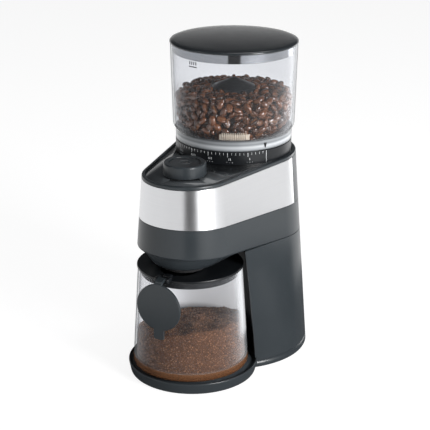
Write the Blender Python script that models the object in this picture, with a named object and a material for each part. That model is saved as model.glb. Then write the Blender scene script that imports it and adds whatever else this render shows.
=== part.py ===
"""Burr coffee grinder: a tower with the motor, a head over the grounds jar, and a clear bean hopper on top.

Metres, +Z up. The origin is on the table under the middle of the bounding box, and the front faces -Y.
Each piece is modelled about the axis that it belongs to, which is an empty that it is parented to.
"""
import math

import bmesh
import bpy
from mathutils import Matrix

MM = 0.001
GAP = 0.3 * MM                      # clearance between pieces that touch on the real machine

# Driving dimensions. Distances along Y are measured from the hopper's axis.
FRONT_REACH = 158.0 * MM            # hopper axis to the front face of the jar cap
REAR_REACH = 77.0 * MM              # hopper axis to the back face of the cord gland
HOPPER_Y = (FRONT_REACH - REAR_REACH) / 2
HEAD_Z = 209.3 * MM                 # top edge of the steel band
TOWER_SIDE_Z = 134.0 * MM           # height where the tower's sides are as straight as the head's

REAR_R_TOP = 64.2 * MM              # rear arc of the head at HEAD_Z
REAR_R_BASE = 81.8 * MM             # rear arc of the tower on the table
REAR_LEAN = 6.5 * MM                # how far forward the base's centre is
FRONT_R_TOP = 45.2 * MM             # front arc of the head at HEAD_Z
FRONT_Y = -97.0 * MM                # centre of the front arc
DRAFT = math.tan(math.radians(4.4))
REAR_DRAFT = (REAR_R_BASE - REAR_R_TOP) / HEAD_Z

BAND_LOW = (161.5 * MM, -0.06)      # lower edge of the steel band: height over the axis and slope along Y
HEAD_LOW = (129.5 * MM, -0.07)      # lower edge of the head
BAND_END = math.radians(5.0)        # where the band stops on the rear arc

JAR_Y = -93.4 * MM
JAR_BASE_R = 58.45 * MM
JAR_TOP_R = 52.2 * MM
JAR_BASE_Z = 13.2 * MM
JAR_TOP_Z = 115.7 * MM
BAY_R_LOW = 66.2 * MM               # recess of the tower around the jar, at BAY_Z_LOW
BAY_R_HIGH = 56.4 * MM              # the same at TOWER_SIDE_Z
BAY_Z_LOW = 10.0 * MM
TRAY_Y = -88.5 * MM
TRAY_R = 66.0 * MM
TRAY_Z = 12.9 * MM
BASE_LOW = 1.2 * MM
BASE_TOP = 9.0 * MM
GLAND_Z = 20.0 * MM

DIAL_Y = -103.0 * MM
DIAL_R = 21.1 * MM
DIAL_Z = 213.6 * MM
PANEL_Z = 211.5 * MM
SCALE_R = 59.4 * MM
COLLAR_Z = 225.3 * MM
HOPPER_Z = 323.4 * MM
LID_R = 65.0 * MM

CAP_Y = -149.5 * MM                 # hinge of the jar cap
CAP_Z = 119.8 * MM
CAP_R = 24.0 * MM
CAP_DROP = 26.8 * MM                # hinge down to the middle of the cap
SPOUT_Y = -106.0 * MM

TEETH_WHEEL = 36
TEETH_PINION = 12
MODULE = 1.25 * MM
CENTRES = MODULE * (TEETH_WHEEL + TEETH_PINION) / 2
IDLER = (24.0 * MM, 18.0 * MM)      # its distance from the hopper's axis and from the motor is CENTRES
MOTOR_Y = 2 * IDLER[1]
GEARBOX = (8.0 * MM, 13.0 * MM)
GEARBOX_R = 44.0 * MM
POSTS = ((0.0, 5.0 * MM), (-27.0 * MM, 25.0 * MM), (27.0 * MM, 25.0 * MM))
FEET = ((-38.0 * MM, -120.0 * MM), (38.0 * MM, -120.0 * MM), (-50.0 * MM, 35.0 * MM), (50.0 * MM, 35.0 * MM))

FINE_ROUND = 40                     # segments of the big round pieces
ROUND = 28
SMALL_ROUND = 16


# Scene helpers

def clear_scene():
    for obj in list(bpy.data.objects):
        bpy.data.objects.remove(obj, do_unlink=True)


def material(name, color, roughness, metallic=0.0, alpha=1.0):
    mat = bpy.data.materials.new(name)
    mat.use_nodes = True
    shader = mat.node_tree.nodes["Principled BSDF"]
    shader.inputs["Base Color"].default_value = (*color, 1.0)
    shader.inputs["Roughness"].default_value = roughness
    shader.inputs["Metallic"].default_value = metallic
    shader.inputs["Alpha"].default_value = alpha
    return mat


def axis_empty(name, x, y, z=0.0, parent=None):
    empty = bpy.data.objects.new(name, None)
    empty.location = (x, y, z)
    empty.parent = parent
    bpy.context.scene.collection.objects.link(empty)
    return empty


def add(name, bm, mat, parent, location=(0.0, 0.0, 0.0), turn_x=0.0):
    """Turn a bmesh into a named object under its axis."""
    mesh = bpy.data.meshes.new(name)
    bm.to_mesh(mesh)
    bm.free()
    mesh.shade_smooth()
    mesh.set_sharp_from_angle(angle=math.radians(35.0))
    if mat:
        mesh.materials.append(mat)
    obj = bpy.data.objects.new(name, mesh)
    obj.parent = parent
    obj.location = location
    obj.rotation_euler.x = turn_x
    bpy.context.scene.collection.objects.link(obj)
    return obj


def combine(target, bm, operation, parent, location=(0.0, 0.0, 0.0), turn_x=0.0):
    """Join or cut a target with a helper body that stays out of the render."""
    helper = add(f"{target.name}_helper_{len(target.modifiers)}", bm, None, parent, location, turn_x)
    helper.hide_render = True
    helper.display_type = "WIRE"
    boolean = target.modifiers.new(helper.name, "BOOLEAN")
    boolean.operation = operation
    boolean.solver = "EXACT"
    boolean.object = helper


# Mesh helpers

def skin(loops, ring=False):
    """Closed body through point loops: a ring joins the last loop to the first, else both ends are capped."""
    bm = bmesh.new()
    rows = [[bm.verts.new(point) for point in loop] for loop in loops]
    pairs = list(zip(rows, rows[1:]))
    if ring:
        pairs.append((rows[-1], rows[0]))
    for low, high in pairs:
        for i in range(len(low)):
            j = (i + 1) % len(low)
            bm.faces.new((low[i], low[j], high[j], high[i]))
    if not ring:
        bm.faces.new(rows[0])
        bm.faces.new(rows[-1])
    bmesh.ops.recalc_face_normals(bm, faces=bm.faces)
    return bm


def turned(profile, steps):
    """Body of revolution about Z from (radius, z) points: a closed ring, or solid if it ends on the axis."""
    bm = bmesh.new()
    verts = [bm.verts.new((radius, 0.0, z)) for radius, z in profile]
    edges = [bm.edges.new(pair) for pair in zip(verts, verts[1:])]
    if profile[0][0] > 0.0:
        edges.append(bm.edges.new((verts[-1], verts[0])))
    bmesh.ops.spin(bm, geom=verts + edges, axis=(0, 0, 1), angle=math.tau, steps=steps, use_merge=True)
    bmesh.ops.remove_doubles(bm, verts=bm.verts, dist=0.001 * MM)
    bmesh.ops.recalc_face_normals(bm, faces=bm.faces)
    return bm


def in_metres(points):
    """Points of a profile given in millimetres."""
    return [(a * MM, b * MM) for a, b in points]


def rod(radius, low, high, steps=SMALL_ROUND):
    return turned([(0.0, low), (radius, low), (radius, high), (0.0, high)], steps)


def tube(inner, outer, low, high, steps=SMALL_ROUND):
    return turned([(inner, low), (outer, low), (outer, high), (inner, high)], steps)


def box(low, high):
    bm = bmesh.new()
    bmesh.ops.create_cube(bm, size=1.0)
    size = [b - a for a, b in zip(low, high)]
    middle = [(a + b) / 2 for a, b in zip(low, high)]
    bmesh.ops.scale(bm, vec=size, verts=bm.verts)
    bmesh.ops.translate(bm, vec=middle, verts=bm.verts)
    return bm


def prism(outline, low, high):
    return skin([[(x, y, low) for x, y in outline], [(x, y, high) for x, y in outline]])


def side_slab(outline, half_width):
    """Prism along X from a (y, z) outline."""
    return skin([[(side * half_width, y, z) for y, z in outline] for side in (-1, 1)])


def circle(radius, z, steps, centre=(0.0, 0.0)):
    angles = [math.tau * i / steps for i in range(steps)]
    return [(centre[0] + radius * math.cos(a), centre[1] + radius * math.sin(a), z) for a in angles]


def spread(first, last, count):
    return [first + (last - first) * i / (count - 1) for i in range(count)]


# The machine's outline, seen from above

def rear_radius(z):
    return REAR_R_TOP + (HEAD_Z - z) * REAR_DRAFT


def rear_centre(z):
    return -REAR_LEAN * (HEAD_Z - z) / HEAD_Z


def front_radius(z):
    return FRONT_R_TOP + (HEAD_Z - z) * DRAFT


def side_angle(z):
    """Angle of the head's straight sides, where both arcs hand over to them."""
    return math.asin((rear_radius(z) - front_radius(z)) / (rear_centre(z) - FRONT_Y))


def slanted(plane, y):
    return plane[0] + plane[1] * y


def rear_point(angle, z, inset=0.0):
    radius = rear_radius(z) - inset
    return radius * math.cos(angle), rear_centre(z) + radius * math.sin(angle)


def front_point(angle, z, inset=0.0):
    radius = front_radius(z) - inset
    return radius * math.cos(angle), FRONT_Y + radius * math.sin(angle)


def at_height(point, angle, height, inset):
    """A point of an outline whose height may be a number or a slanted plane."""
    if not isinstance(height, tuple):
        return (*point(angle, height, inset), height)
    z = height[0]
    for _ in range(4):
        x, y = point(angle, z, inset)
        z = slanted(height, y)
    return x, y, z


def head_loop(height, inset=0.0, front_steps=18, rear_steps=22):
    tilt = side_angle(0.17)
    front_angles = spread(math.pi + tilt, math.tau - tilt, front_steps)
    front = [at_height(front_point, a, height, inset) for a in front_angles]
    rear = [at_height(rear_point, a, height, inset) for a in spread(-tilt, math.pi + tilt, rear_steps)]
    return front + rear


def band_strip(height, inset, steps=3):
    """Points of the steel band's stretch: right end, round the front, left end."""
    tilt = side_angle(0.17)
    right = [at_height(rear_point, a, height, inset) for a in spread(BAND_END, -tilt, steps)]
    front = [at_height(front_point, a, height, inset) for a in spread(-tilt, -math.pi + tilt, 20)]
    left_angles = spread(math.pi + tilt, math.pi - BAND_END, steps)
    left = [at_height(rear_point, a, height, inset) for a in left_angles]
    return right + front + left


def rear_strip(height, inset, margin=0.01):
    angles = spread(BAND_END + margin, math.pi - BAND_END - margin, 20)
    return [at_height(rear_point, a, height, inset) for a in angles]


def wall_loop(strip, height, inner, outer):
    """Closed loop round a strip of wall, from its outer face back along its inner face."""
    return strip(height, outer) + strip(height, inner)[::-1]


def tower_point(angle, z, inset=0.0):
    """The tower's side: round on the table, and along the head's straight sides at the top."""
    past = max(0.0, -angle - side_angle(TOWER_SIDE_Z), angle - math.pi - side_angle(TOWER_SIDE_Z))
    straight = z / TOWER_SIDE_Z
    radius = rear_radius(z) * (1.0 - straight + straight / math.cos(past)) - inset
    return radius * math.cos(angle), rear_centre(z) + radius * math.sin(angle)


def bay_radius(z):
    return BAY_R_LOW + (BAY_R_HIGH - BAY_R_LOW) * (z - BAY_Z_LOW) / (TOWER_SIDE_Z - BAY_Z_LOW)


def tower_corner(z, inset, bay):
    """Angle where the tower's side meets the recess around the jar, by halving."""
    low, high = math.radians(-80.0), 0.0
    for _ in range(40):
        angle = (low + high) / 2
        x, y = tower_point(angle, z, inset)
        if math.hypot(x, y - JAR_Y) < bay:
            low = angle
        else:
            high = angle
    return high


def tower_strip(height, inset, steps=30):
    z = slanted(height, -60.0 * MM) if isinstance(height, tuple) else height
    corner = tower_corner(z, 0.0, bay_radius(z))
    return [at_height(tower_point, a, height, inset) for a in spread(corner, math.pi - corner, steps)]


def bay_strip(height, depth, inset, steps=18):
    """Arc of the recess, deeper than its face by depth, between the tower's sides."""
    z = slanted(height, -50.0 * MM) if isinstance(height, tuple) else height
    radius = bay_radius(z) + depth
    x, y = tower_point(tower_corner(z, inset, radius), z, inset)
    start = math.atan2(y - JAR_Y, x)
    points = []
    for angle in spread(start, math.pi - start, steps):
        y = JAR_Y + radius * math.sin(angle)
        z = slanted(height, y) if isinstance(height, tuple) else height
        points.append((radius * math.cos(angle), y, z))
    return points


def shifted(plane, rise):
    return plane[0] + rise, plane[1]


# Toothed and bladed outlines

def gear_outline(teeth, turn):
    """Gear whose straight flanks stay just inside the involute, with a little backlash."""
    pitch = MODULE * teeth / 2
    base = pitch * math.cos(math.radians(20.0))
    tip = pitch + 0.85 * MODULE
    root = pitch - 1.15 * MODULE
    play = 0.12 * MM / pitch

    def half_width(radius):
        pressure = math.acos(base / max(radius, base))
        involute = math.tan(math.radians(20.0)) - math.radians(20.0) - math.tan(pressure) + pressure
        return math.pi / (2 * teeth) - play + involute

    points = []
    for i in range(teeth):
        middle = turn + math.tau * i / teeth
        flank = [(radius, half_width(radius)) for radius in (root, tip)]
        for radius, half in flank:
            points.append((radius * math.cos(middle - half), radius * math.sin(middle - half)))
        for radius, half in flank[::-1]:
            points.append((radius * math.cos(middle + half), radius * math.sin(middle + half)))
    return points


def blade_outline(blades, hub, tip, half_width):
    points = []
    for i in range(blades):
        middle = math.tau * i / blades
        for radius, side in ((hub, -1), (tip, -1), (tip, 1), (hub, 1)):
            angle = middle + side * math.asin(half_width / radius)
            points.append((radius * math.cos(angle), radius * math.sin(angle)))
    return points


def toothed_loop(radius, z, teeth, depth, twist):
    points = []
    for i in range(2 * teeth):
        angle = twist + math.pi * i / teeth
        reach = radius - depth * (i % 2)
        points.append((reach * math.cos(angle), reach * math.sin(angle), z))
    return points


# Housing

def base_parts(axis, tray_axis, mats):
    heights = (BASE_LOW, BASE_LOW + 1.2 * MM, BASE_TOP)
    loops = []
    for z in heights:
        inset = 1.2 * MM if z == BASE_LOW else 0.0
        centre = (0.0, rear_centre(z))
        loops.append(circle(rear_radius(z) - inset, z, FINE_ROUND, centre))
    base = add("base_plate", skin(loops), mats["body"], axis)
    tray = turned([
        (0.0, BASE_LOW), (TRAY_R - 2.8 * MM, BASE_LOW), (TRAY_R - 2.0 * MM, BASE_LOW + 1.0 * MM),
        (TRAY_R, TRAY_Z - 1.4 * MM), (TRAY_R - 0.4 * MM, TRAY_Z), (TRAY_R - 1.6 * MM, TRAY_Z),
        (TRAY_R - 2.6 * MM, TRAY_Z - 3.1 * MM), (TRAY_R - 6.4 * MM, TRAY_Z - 3.1 * MM),
        (TRAY_R - 7.2 * MM, TRAY_Z), (0.0, TRAY_Z)], FINE_ROUND)
    combine(base, tray, "UNION", tray_axis)
    room = skin([tower_room(BASE_TOP), tower_room(BASE_TOP + 8.0 * MM)])
    combine(base, room, "DIFFERENCE", axis)
    for x, y in FEET:
        combine(base, rod(7.6 * MM, -1.0 * MM, 2.9 * MM), "DIFFERENCE", axis, (x, y, 0.0))
    for x, y in POSTS:
        counterbore = turned([(0.0, -1.0 * MM), (3.9 * MM, -1.0 * MM), (3.9 * MM, 4.0 * MM),
                              (2.0 * MM, 4.0 * MM), (2.0 * MM, 12.0 * MM), (0.0, 12.0 * MM)], SMALL_ROUND)
        combine(base, counterbore, "DIFFERENCE", axis, (x, y, 0.0))


def tower_room(z):
    """The tower's outline at one height with a little room round it, as a closed loop."""
    radius = bay_radius(z) - 2.2 * MM
    corner = tower_corner(z, -0.4 * MM, radius)
    side = [(*tower_point(a, z, -0.4 * MM), z) for a in spread(corner, math.pi - corner, 30)]
    start = math.atan2(side[0][1] - JAR_Y, side[0][0])
    bay_angles = spread(math.pi - start, start, 18)
    bay = [(radius * math.cos(a), JAR_Y + radius * math.sin(a), z) for a in bay_angles]
    return side + bay[1:-1]


def foot_and_screw_parts(axis, mats):
    for i, (x, y) in enumerate(FEET, 1):
        foot = [(0.0, 0.0), (6.2, 0.0), (7.0, 0.8), (7.0, 2.6), (0.0, 2.6)]
        add(f"rubber_foot_{i}", turned(in_metres(foot), SMALL_ROUND), mats["rubber"], axis, (x, y, 0.0))
    for i, (x, y) in enumerate(POSTS, 1):
        screw = turned([(0.0, 1.6 * MM), (3.4 * MM, 1.6 * MM), (3.4 * MM, 3.7 * MM), (1.6 * MM, 3.7 * MM),
                        (1.6 * MM, 19.0 * MM), (0.0, 20.0 * MM)], SMALL_ROUND)
        add(f"base_screw_{i}", screw, mats["steel"], axis, (x, y, 0.0))
        post = turned([(0.0, 21.3 * MM), (1.9 * MM, 21.3 * MM), (1.9 * MM, 9.3 * MM), (4.5 * MM, 9.3 * MM),
                       (4.5 * MM, 117.7 * MM), (0.0, 117.7 * MM)], SMALL_ROUND)
        add(f"frame_post_{i}", post, mats["steel"], axis, (x, y, 0.0))


def tower_parts(axis, mats):
    low = BASE_TOP + GAP
    high = shifted(HEAD_LOW, -0.4 * MM)
    wall = 2.6 * MM
    middle = 70.0 * MM
    loops = [wall_loop(tower_strip, z, wall, 0.0) for z in (low, middle, high)]
    shell = add("tower_shell", skin(loops), mats["body"], axis)
    window = box((-17.2 * MM, 50.0 * MM, 29.5 * MM), (17.2 * MM, 90.0 * MM, 66.5 * MM))
    combine(shell, window, "DIFFERENCE", axis)
    combine(shell, rod(5.9 * MM, -15.0 * MM, 15.0 * MM), "DIFFERENCE", axis,
            (0.0, 70.0 * MM, GLAND_Z), math.radians(90.0))

    def panel(height, inset):
        return bay_strip(height, inset, wall + 1.3 * MM)

    loops = [wall_loop(panel, z, 2.4 * MM, 0.0) for z in (low, middle, high)]
    add("tower_front", skin(loops), mats["dark"], axis)

    def vent(height, inset):
        reach = math.asin(16.8 * MM / rear_radius(height))
        angles = spread(math.pi / 2 - reach, math.pi / 2 + reach, 8)
        return [(*rear_point(a, height, inset), height) for a in angles]

    loops = [wall_loop(vent, z, 2.3 * MM, 0.2 * MM) for z in (30.0 * MM, 66.0 * MM)]
    grille = add("rear_vent_cover", skin(loops), mats["body"], axis)
    for i in range(5):
        z = (35.0 + 6.0 * i) * MM
        slot = box((-13.0 * MM, 50.0 * MM, z), (13.0 * MM, 90.0 * MM, z + 2.4 * MM))
        combine(grille, slot, "DIFFERENCE", axis)


def gland_part(axis, mats):
    flange_low = GLAND_Z - 8.0 * MM
    wall_y = rear_centre(flange_low) + rear_radius(flange_low)
    flange = REAR_REACH - wall_y
    profile = [(3.6 * MM, -9.0 * MM), (5.5 * MM, -9.0 * MM), (5.5 * MM, GAP), (8.0 * MM, GAP),
               (8.0 * MM, flange - 0.8 * MM), (7.2 * MM, flange), (3.6 * MM, flange)]
    add("cord_gland", turned(profile, SMALL_ROUND), mats["rubber"], axis,
        (0.0, wall_y, GLAND_Z), math.radians(-90.0))


def head_parts(axis, mats):
    sleeve = 1.9 * MM
    inner = 4.2 * MM
    top = HEAD_Z - 0.4 * MM
    loops = [head_loop(HEAD_LOW), head_loop(BAND_LOW), head_loop(BAND_LOW, sleeve), head_loop(top, sleeve),
             head_loop(top, inner), head_loop(HEAD_LOW, inner)]
    add("head_housing", skin(loops, ring=True), mats["body"], axis)
    low = shifted(BAND_LOW, GAP)
    top = HEAD_Z - 0.1 * MM
    sheet = 1.4 * MM
    band = skin([wall_loop(band_strip, z, sheet, 0.0) for z in (low, top)])
    add("steel_band", band, mats["brushed"], axis)
    cover = skin([wall_loop(rear_strip, z, sheet, 0.0) for z in (low, top)])
    add("rear_cover", cover, mats["body"], axis)

    rim_low = HEAD_Z + 0.2 * MM
    rim_top = PANEL_Z + 1.1 * MM
    loops = [head_loop(rim_low), head_loop(rim_top - 1.0 * MM), head_loop(rim_top, 0.9 * MM),
             head_loop(rim_top, 3.4 * MM), head_loop(rim_low, 3.4 * MM)]
    add("top_bezel", skin(loops, ring=True), mats["body"], axis)
    panel = add("top_panel", skin([head_loop(PANEL_Z - 1.8 * MM, 3.8 * MM), head_loop(PANEL_Z, 3.8 * MM)]),
                mats["gloss"], axis)
    combine(panel, rod(57.0 * MM, 200.0 * MM, 220.0 * MM, FINE_ROUND), "DIFFERENCE", axis)
    combine(panel, rod(6.0 * MM, 200.0 * MM, 220.0 * MM), "DIFFERENCE", axis, (0.0, DIAL_Y, 0.0))
    scale = tube(SCALE_R - 2.0 * MM, SCALE_R, PANEL_Z + GAP, COLLAR_Z - 0.5 * MM, FINE_ROUND)
    add("scale_ring", scale, mats["dark"], axis)
    underside_part(axis, mats)


def underside_part(axis, mats):
    """Bowl that closes the head over the jar, with a round hole for the spout."""
    steps = 36
    inset = 5.6 * MM
    bay = bay_radius(TOWER_SIDE_Z) - 0.6 * MM
    tilt = side_angle(TOWER_SIDE_Z)
    flat = 124.6 * MM

    def edge(angle):
        reach = front_radius(TOWER_SIDE_Z) - inset
        normal = -tilt if math.cos(angle) >= 0 else math.pi + tilt
        off = math.atan2(math.sin(angle - normal), math.cos(angle - normal))
        if math.sin(angle) > -math.sin(tilt):
            reach = reach / max(math.cos(off), 0.05)
        shift = JAR_Y - FRONT_Y
        to_bay = shift * math.sin(angle) + math.sqrt(bay ** 2 - (shift * math.cos(angle)) ** 2)
        reach = min(reach, to_bay)
        return reach * math.cos(angle), FRONT_Y + reach * math.sin(angle)

    def loop(blend, radius, drop):
        points = []
        for i in range(steps):
            angle = math.tau * i / steps
            ex, ey = edge(angle)
            cx, cy = radius * math.cos(angle), SPOUT_Y + radius * math.sin(angle)
            high = slanted(HEAD_LOW, ey)
            z = high + (flat - high) * math.sin(blend * math.pi / 2) + drop
            points.append((ex + (cx - ex) * blend, ey + (cy - ey) * blend, z))
        return points

    flat_r = 28.0 * MM
    hole_r = 19.5 * MM
    wall = 2.0 * MM
    blends = (0.0, 0.3, 0.65, 1.0)
    outer = [loop(blend, flat_r, 0.0) for blend in blends] + [loop(1.0, hole_r, 0.0)]
    inner = [loop(1.0, hole_r, wall)] + [loop(blend, flat_r - 1.0 * MM, wall) for blend in blends[::-1]]
    add("head_underside", skin(outer + inner, ring=True), mats["body"], axis)


# Drive

def motor_parts(motor, mats):
    can = [(20.9 * MM, 46.0 * MM), (23.0 * MM, 46.0 * MM), (23.0 * MM, 112.5 * MM), (8.5 * MM, 112.5 * MM),
           (8.5 * MM, 120.6 * MM), (2.8 * MM, 120.6 * MM), (2.8 * MM, 109.5 * MM), (20.9 * MM, 109.5 * MM)]
    add("motor_can", turned(can, ROUND), mats["steel"], motor)
    end_cap = [(2.8 * MM, 38.0 * MM), (9.0 * MM, 38.0 * MM), (9.0 * MM, 41.0 * MM), (23.0 * MM, 41.0 * MM),
               (23.0 * MM, 45.7 * MM), (2.8 * MM, 45.7 * MM)]
    add("motor_end_cap", turned(end_cap, ROUND), mats["nylon"], motor)
    add("motor_shaft", rod(2.5 * MM, 30.0 * MM, 134.8 * MM), mats["steel"], motor)
    armature = add("armature", prism(blade_outline(8, 11.0 * MM, 18.0 * MM, 4.0 * MM), 62.0 * MM, 104.0 * MM),
                   mats["copper"], motor)
    combine(armature, rod(2.8 * MM, 50.0 * MM, 110.0 * MM), "DIFFERENCE", motor)
    fan = add("cooling_fan", prism(blade_outline(8, 7.0 * MM, 21.0 * MM, 1.2 * MM), 31.0 * MM, 37.0 * MM),
              mats["nylon"], motor)
    combine(fan, rod(2.8 * MM, 20.0 * MM, 50.0 * MM), "DIFFERENCE", motor)


def gear_parts(axis, motor, idler, mats):
    """Two stages: motor pinion to idler wheel below, idler pinion to burr gear above."""
    to_motor = math.atan2(MOTOR_Y - IDLER[1], -IDLER[0])
    to_axis = math.atan2(-IDLER[1], -IDLER[0])
    half_wheel = math.pi / TEETH_WHEEL
    low, high = (127.6 * MM, 134.6 * MM), (136.4 * MM, 143.4 * MM)
    pieces = (
        ("motor_pinion", TEETH_PINION, to_motor + math.pi, low, 2.8 * MM, motor, "brass"),
        ("idler_wheel", TEETH_WHEEL, to_motor + half_wheel, low, 2.3 * MM, idler, "nylon"),
        ("idler_pinion", TEETH_PINION, to_axis, (135.0 * MM, high[1]), 2.3 * MM, idler, "steel"),
        ("burr_gear", TEETH_WHEEL, to_axis + math.pi + half_wheel, high, 4.3 * MM, axis, "nylon"))
    for name, teeth, turn, (bottom, top), bore, parent, mat in pieces:
        gear = add(name, prism(gear_outline(teeth, turn), bottom, top), mats[mat], parent)
        combine(gear, rod(bore, bottom - 5.0 * MM, top + 5.0 * MM), "DIFFERENCE", parent)
    add("idler_axle", rod(2.0 * MM, 118.3 * MM, 152.6 * MM), mats["steel"], idler)


def gearbox_parts(axis, gearbox, motor, idler, mats):
    plate = add("gearbox_plate", rod(GEARBOX_R, 118.0 * MM, 121.0 * MM, FINE_ROUND), mats["steel"], gearbox)
    combine(plate, rod(8.9 * MM, 110.0 * MM, 125.0 * MM), "DIFFERENCE", motor)
    combine(plate, rod(2.3 * MM, 110.0 * MM, 125.0 * MM), "DIFFERENCE", idler)
    wall = tube(GEARBOX_R - 2.4 * MM, GEARBOX_R, 121.3 * MM, 149.7 * MM, FINE_ROUND)
    add("gearbox_wall", wall, mats["nylon"], gearbox)
    cover = add("gearbox_cover", rod(GEARBOX_R, 150.0 * MM, 153.0 * MM, FINE_ROUND), mats["nylon"], gearbox)
    combine(cover, rod(5.0 * MM, 145.0 * MM, 158.0 * MM), "DIFFERENCE", axis)
    combine(cover, rod(2.3 * MM, 145.0 * MM, 158.0 * MM), "DIFFERENCE", idler)
    add("shaft_bearing_lower", tube(4.3 * MM, 9.5 * MM, 121.4 * MM, 126.4 * MM), mats["brass"], axis)
    add("shaft_bearing_upper", tube(4.3 * MM, 11.0 * MM, 157.0 * MM, 164.0 * MM), mats["steel"], axis)


def burr_parts(axis, mats):
    add("burr_shaft", rod(4.0 * MM, 121.8 * MM, 196.0 * MM), mats["steel"], axis)
    paddles = prism(blade_outline(6, 12.0 * MM, 39.0 * MM, 1.5 * MM), 165.5 * MM, 171.5 * MM)
    impeller = add("impeller", paddles, mats["nylon"], axis)
    combine(impeller, rod(4.3 * MM, 160.0 * MM, 180.0 * MM), "DIFFERENCE", axis)
    steps = ((22.0, 172.0, 0.0), (21.4, 176.0, 4.0), (15.0, 185.0, 14.0), (9.5, 192.0, 22.0))
    cone = [toothed_loop(r * MM, z * MM, 20, 1.4 * MM, math.radians(twist)) for r, z, twist in steps]
    burr = add("cone_burr", skin(cone), mats["steel"], axis)
    combine(burr, rod(4.3 * MM, 165.0 * MM, 195.0 * MM), "DIFFERENCE", axis)
    teeth = 24
    inner = [toothed_loop(radius * MM, z * MM, teeth, -1.2 * MM, math.radians(twist))
             for radius, z, twist in ((22.9, 173.8, 0.0), (22.9, 178.0, -4.0), (25.4, 192.0, -14.0))]
    outer = [circle(28.0 * MM, z * MM, 2 * teeth) for z in (192.0, 173.8)]
    add("ring_burr", skin(inner + outer, ring=True), mats["steel"], axis)
    carrier = [(28.5, 173.6), (32.5, 173.6), (32.5, 186.0), (40.2, 186.0), (40.2, 197.2), (36.0, 197.2),
               (36.0, 203.0), (27.0, 203.0), (27.0, 192.4), (28.5, 192.4)]
    add("burr_carrier", turned(in_metres(carrier), ROUND), mats["nylon"], axis)
    ring = tube(36.7 * MM, 50.0 * MM, 198.8 * MM, 206.8 * MM, FINE_ROUND)
    add("adjusting_ring", ring, mats["nylon"], axis)
    chamber = [(11.5, 153.6), (44.0, 153.6), (44.0, 197.6), (41.2, 197.6), (41.2, 160.0), (14.0, 160.0),
               (14.0, 164.6), (11.5, 164.6)]
    body = add("grind_chamber", turned(in_metres(chamber), ROUND), mats["nylon"], axis)
    outlet = box((-10.0 * MM, -60.0 * MM, 162.0 * MM), (10.0 * MM, -30.0 * MM, 177.0 * MM))
    combine(body, outlet, "DIFFERENCE", axis)


def chute_part(axis, mats):
    outer = [(-44.9, 157.0), (-44.9, 181.0), (-96.0, 172.0), (-119.0, 160.0), (-119.0, 121.6), (-93.0, 121.6),
             (-93.0, 146.0)]
    inner = [(-40.0, 160.0), (-40.0, 178.0), (-96.5, 169.8), (-117.0, 158.8), (-117.0, 115.0), (-95.0, 115.0),
             (-95.0, 148.5)]
    duct = add("grounds_chute", side_slab(in_metres(outer), 13.0 * MM), mats["dark"], axis)
    combine(duct, side_slab(in_metres(inner), 11.0 * MM), "DIFFERENCE", axis)


def electric_parts(axis, mats):
    board_x = -49.4 * MM
    add("control_board", box((board_x - 1.6 * MM, -8.0 * MM, 45.0 * MM), (board_x, 44.0 * MM, 112.0 * MM)),
        mats["board"], axis)


def dial_parts(dial, mats):
    knob = [(2.6, 199.0), (4.3, 199.0), (4.3, 213.6), (20.4, 213.6), (21.1, 214.4), (20.9, 224.4),
            (19.9, 225.8), (15.7, 225.8), (15.5, 220.0), (2.6, 220.0)]
    add("dial_knob", turned(in_metres(knob), ROUND), mats["body"], dial)
    button = [(0.0, 200.6), (2.1, 200.6), (2.1, 222.2), (14.4, 222.2), (15.1, 222.8), (15.1, 224.7),
              (14.6, 225.2), (0.0, 225.2)]
    add("start_button", turned(in_metres(button), ROUND), mats["dark"], dial)
    add("dial_encoder", tube(4.7 * MM, 12.0 * MM, 196.0 * MM, 207.0 * MM), mats["magnet"], dial)
    switch = box((-4.0 * MM, -4.0 * MM, 190.0 * MM), (4.0 * MM, 4.0 * MM, 195.7 * MM))
    add("start_switch", switch, mats["dark"], dial)


# Hopper

def hopper_parts(axis, mats):
    hopper = [(64.5, 323.4), (62.1, 241.0), (61.0, 237.6), (59.4, 235.4), (59.2, 225.3), (56.9, 225.3),
              (56.9, 230.4), (25.0, 213.6), (22.6, 210.0), (22.6, 205.0), (20.6, 205.0), (20.6, 210.6),
              (23.6, 215.6), (57.4, 235.6), (59.9, 241.4), (62.3, 323.4)]
    add("bean_hopper", turned(in_metres(hopper), FINE_ROUND), mats["clear"], axis)
    ring = [(50.5, 207.3), (56.3, 207.3), (56.3, 224.9), (54.0, 224.9), (54.0, 212.0), (50.5, 212.0)]
    add("hopper_base_ring", turned(in_metres(ring), FINE_ROUND), mats["dark"], axis)
    guard_part(axis, mats)
    direction = math.radians(-31.0)
    width = 0.028
    low, high = 227.5 * MM, 232.5 * MM
    tip = [(r * math.cos(direction), r * math.sin(direction), low) for r in (59.5 * MM, 60.1 * MM)]
    wide = [[(r * math.cos(direction + s * width), r * math.sin(direction + s * width), high)
             for r in (59.5 * MM, 60.1 * MM)] for s in (-1, 1)]
    inner = [tip[0], wide[1][0], wide[0][0]]
    outer = [tip[1], wide[1][1], wide[0][1]]
    add("grind_pointer", skin([inner, outer]), mats["dark"], axis)


def guard_part(axis, mats):
    """Cone over the throat that keeps fingers out, on three fins that stand on the hopper's floor."""
    cone = [(0.0, 287.0), (22.0, 277.6), (22.0, 270.0), (20.0, 270.0), (20.0, 276.0), (0.0, 284.4)]
    guard = add("finger_guard", turned(in_metres(cone), ROUND), mats["dark"], axis)
    fin = [(19.0, 272.0), (21.6, 272.0), (31.0, 222.0), (31.0, 220.8), (27.0, 218.6), (25.0, 218.6),
           (19.0, 262.0)]
    for i in range(3):
        body = side_slab(in_metres(fin), 1.2 * MM)
        bmesh.ops.rotate(body, verts=body.verts, matrix=Matrix.Rotation(math.tau * i / 3, 3, "Z"))
        combine(guard, body, "UNION", axis)


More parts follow.
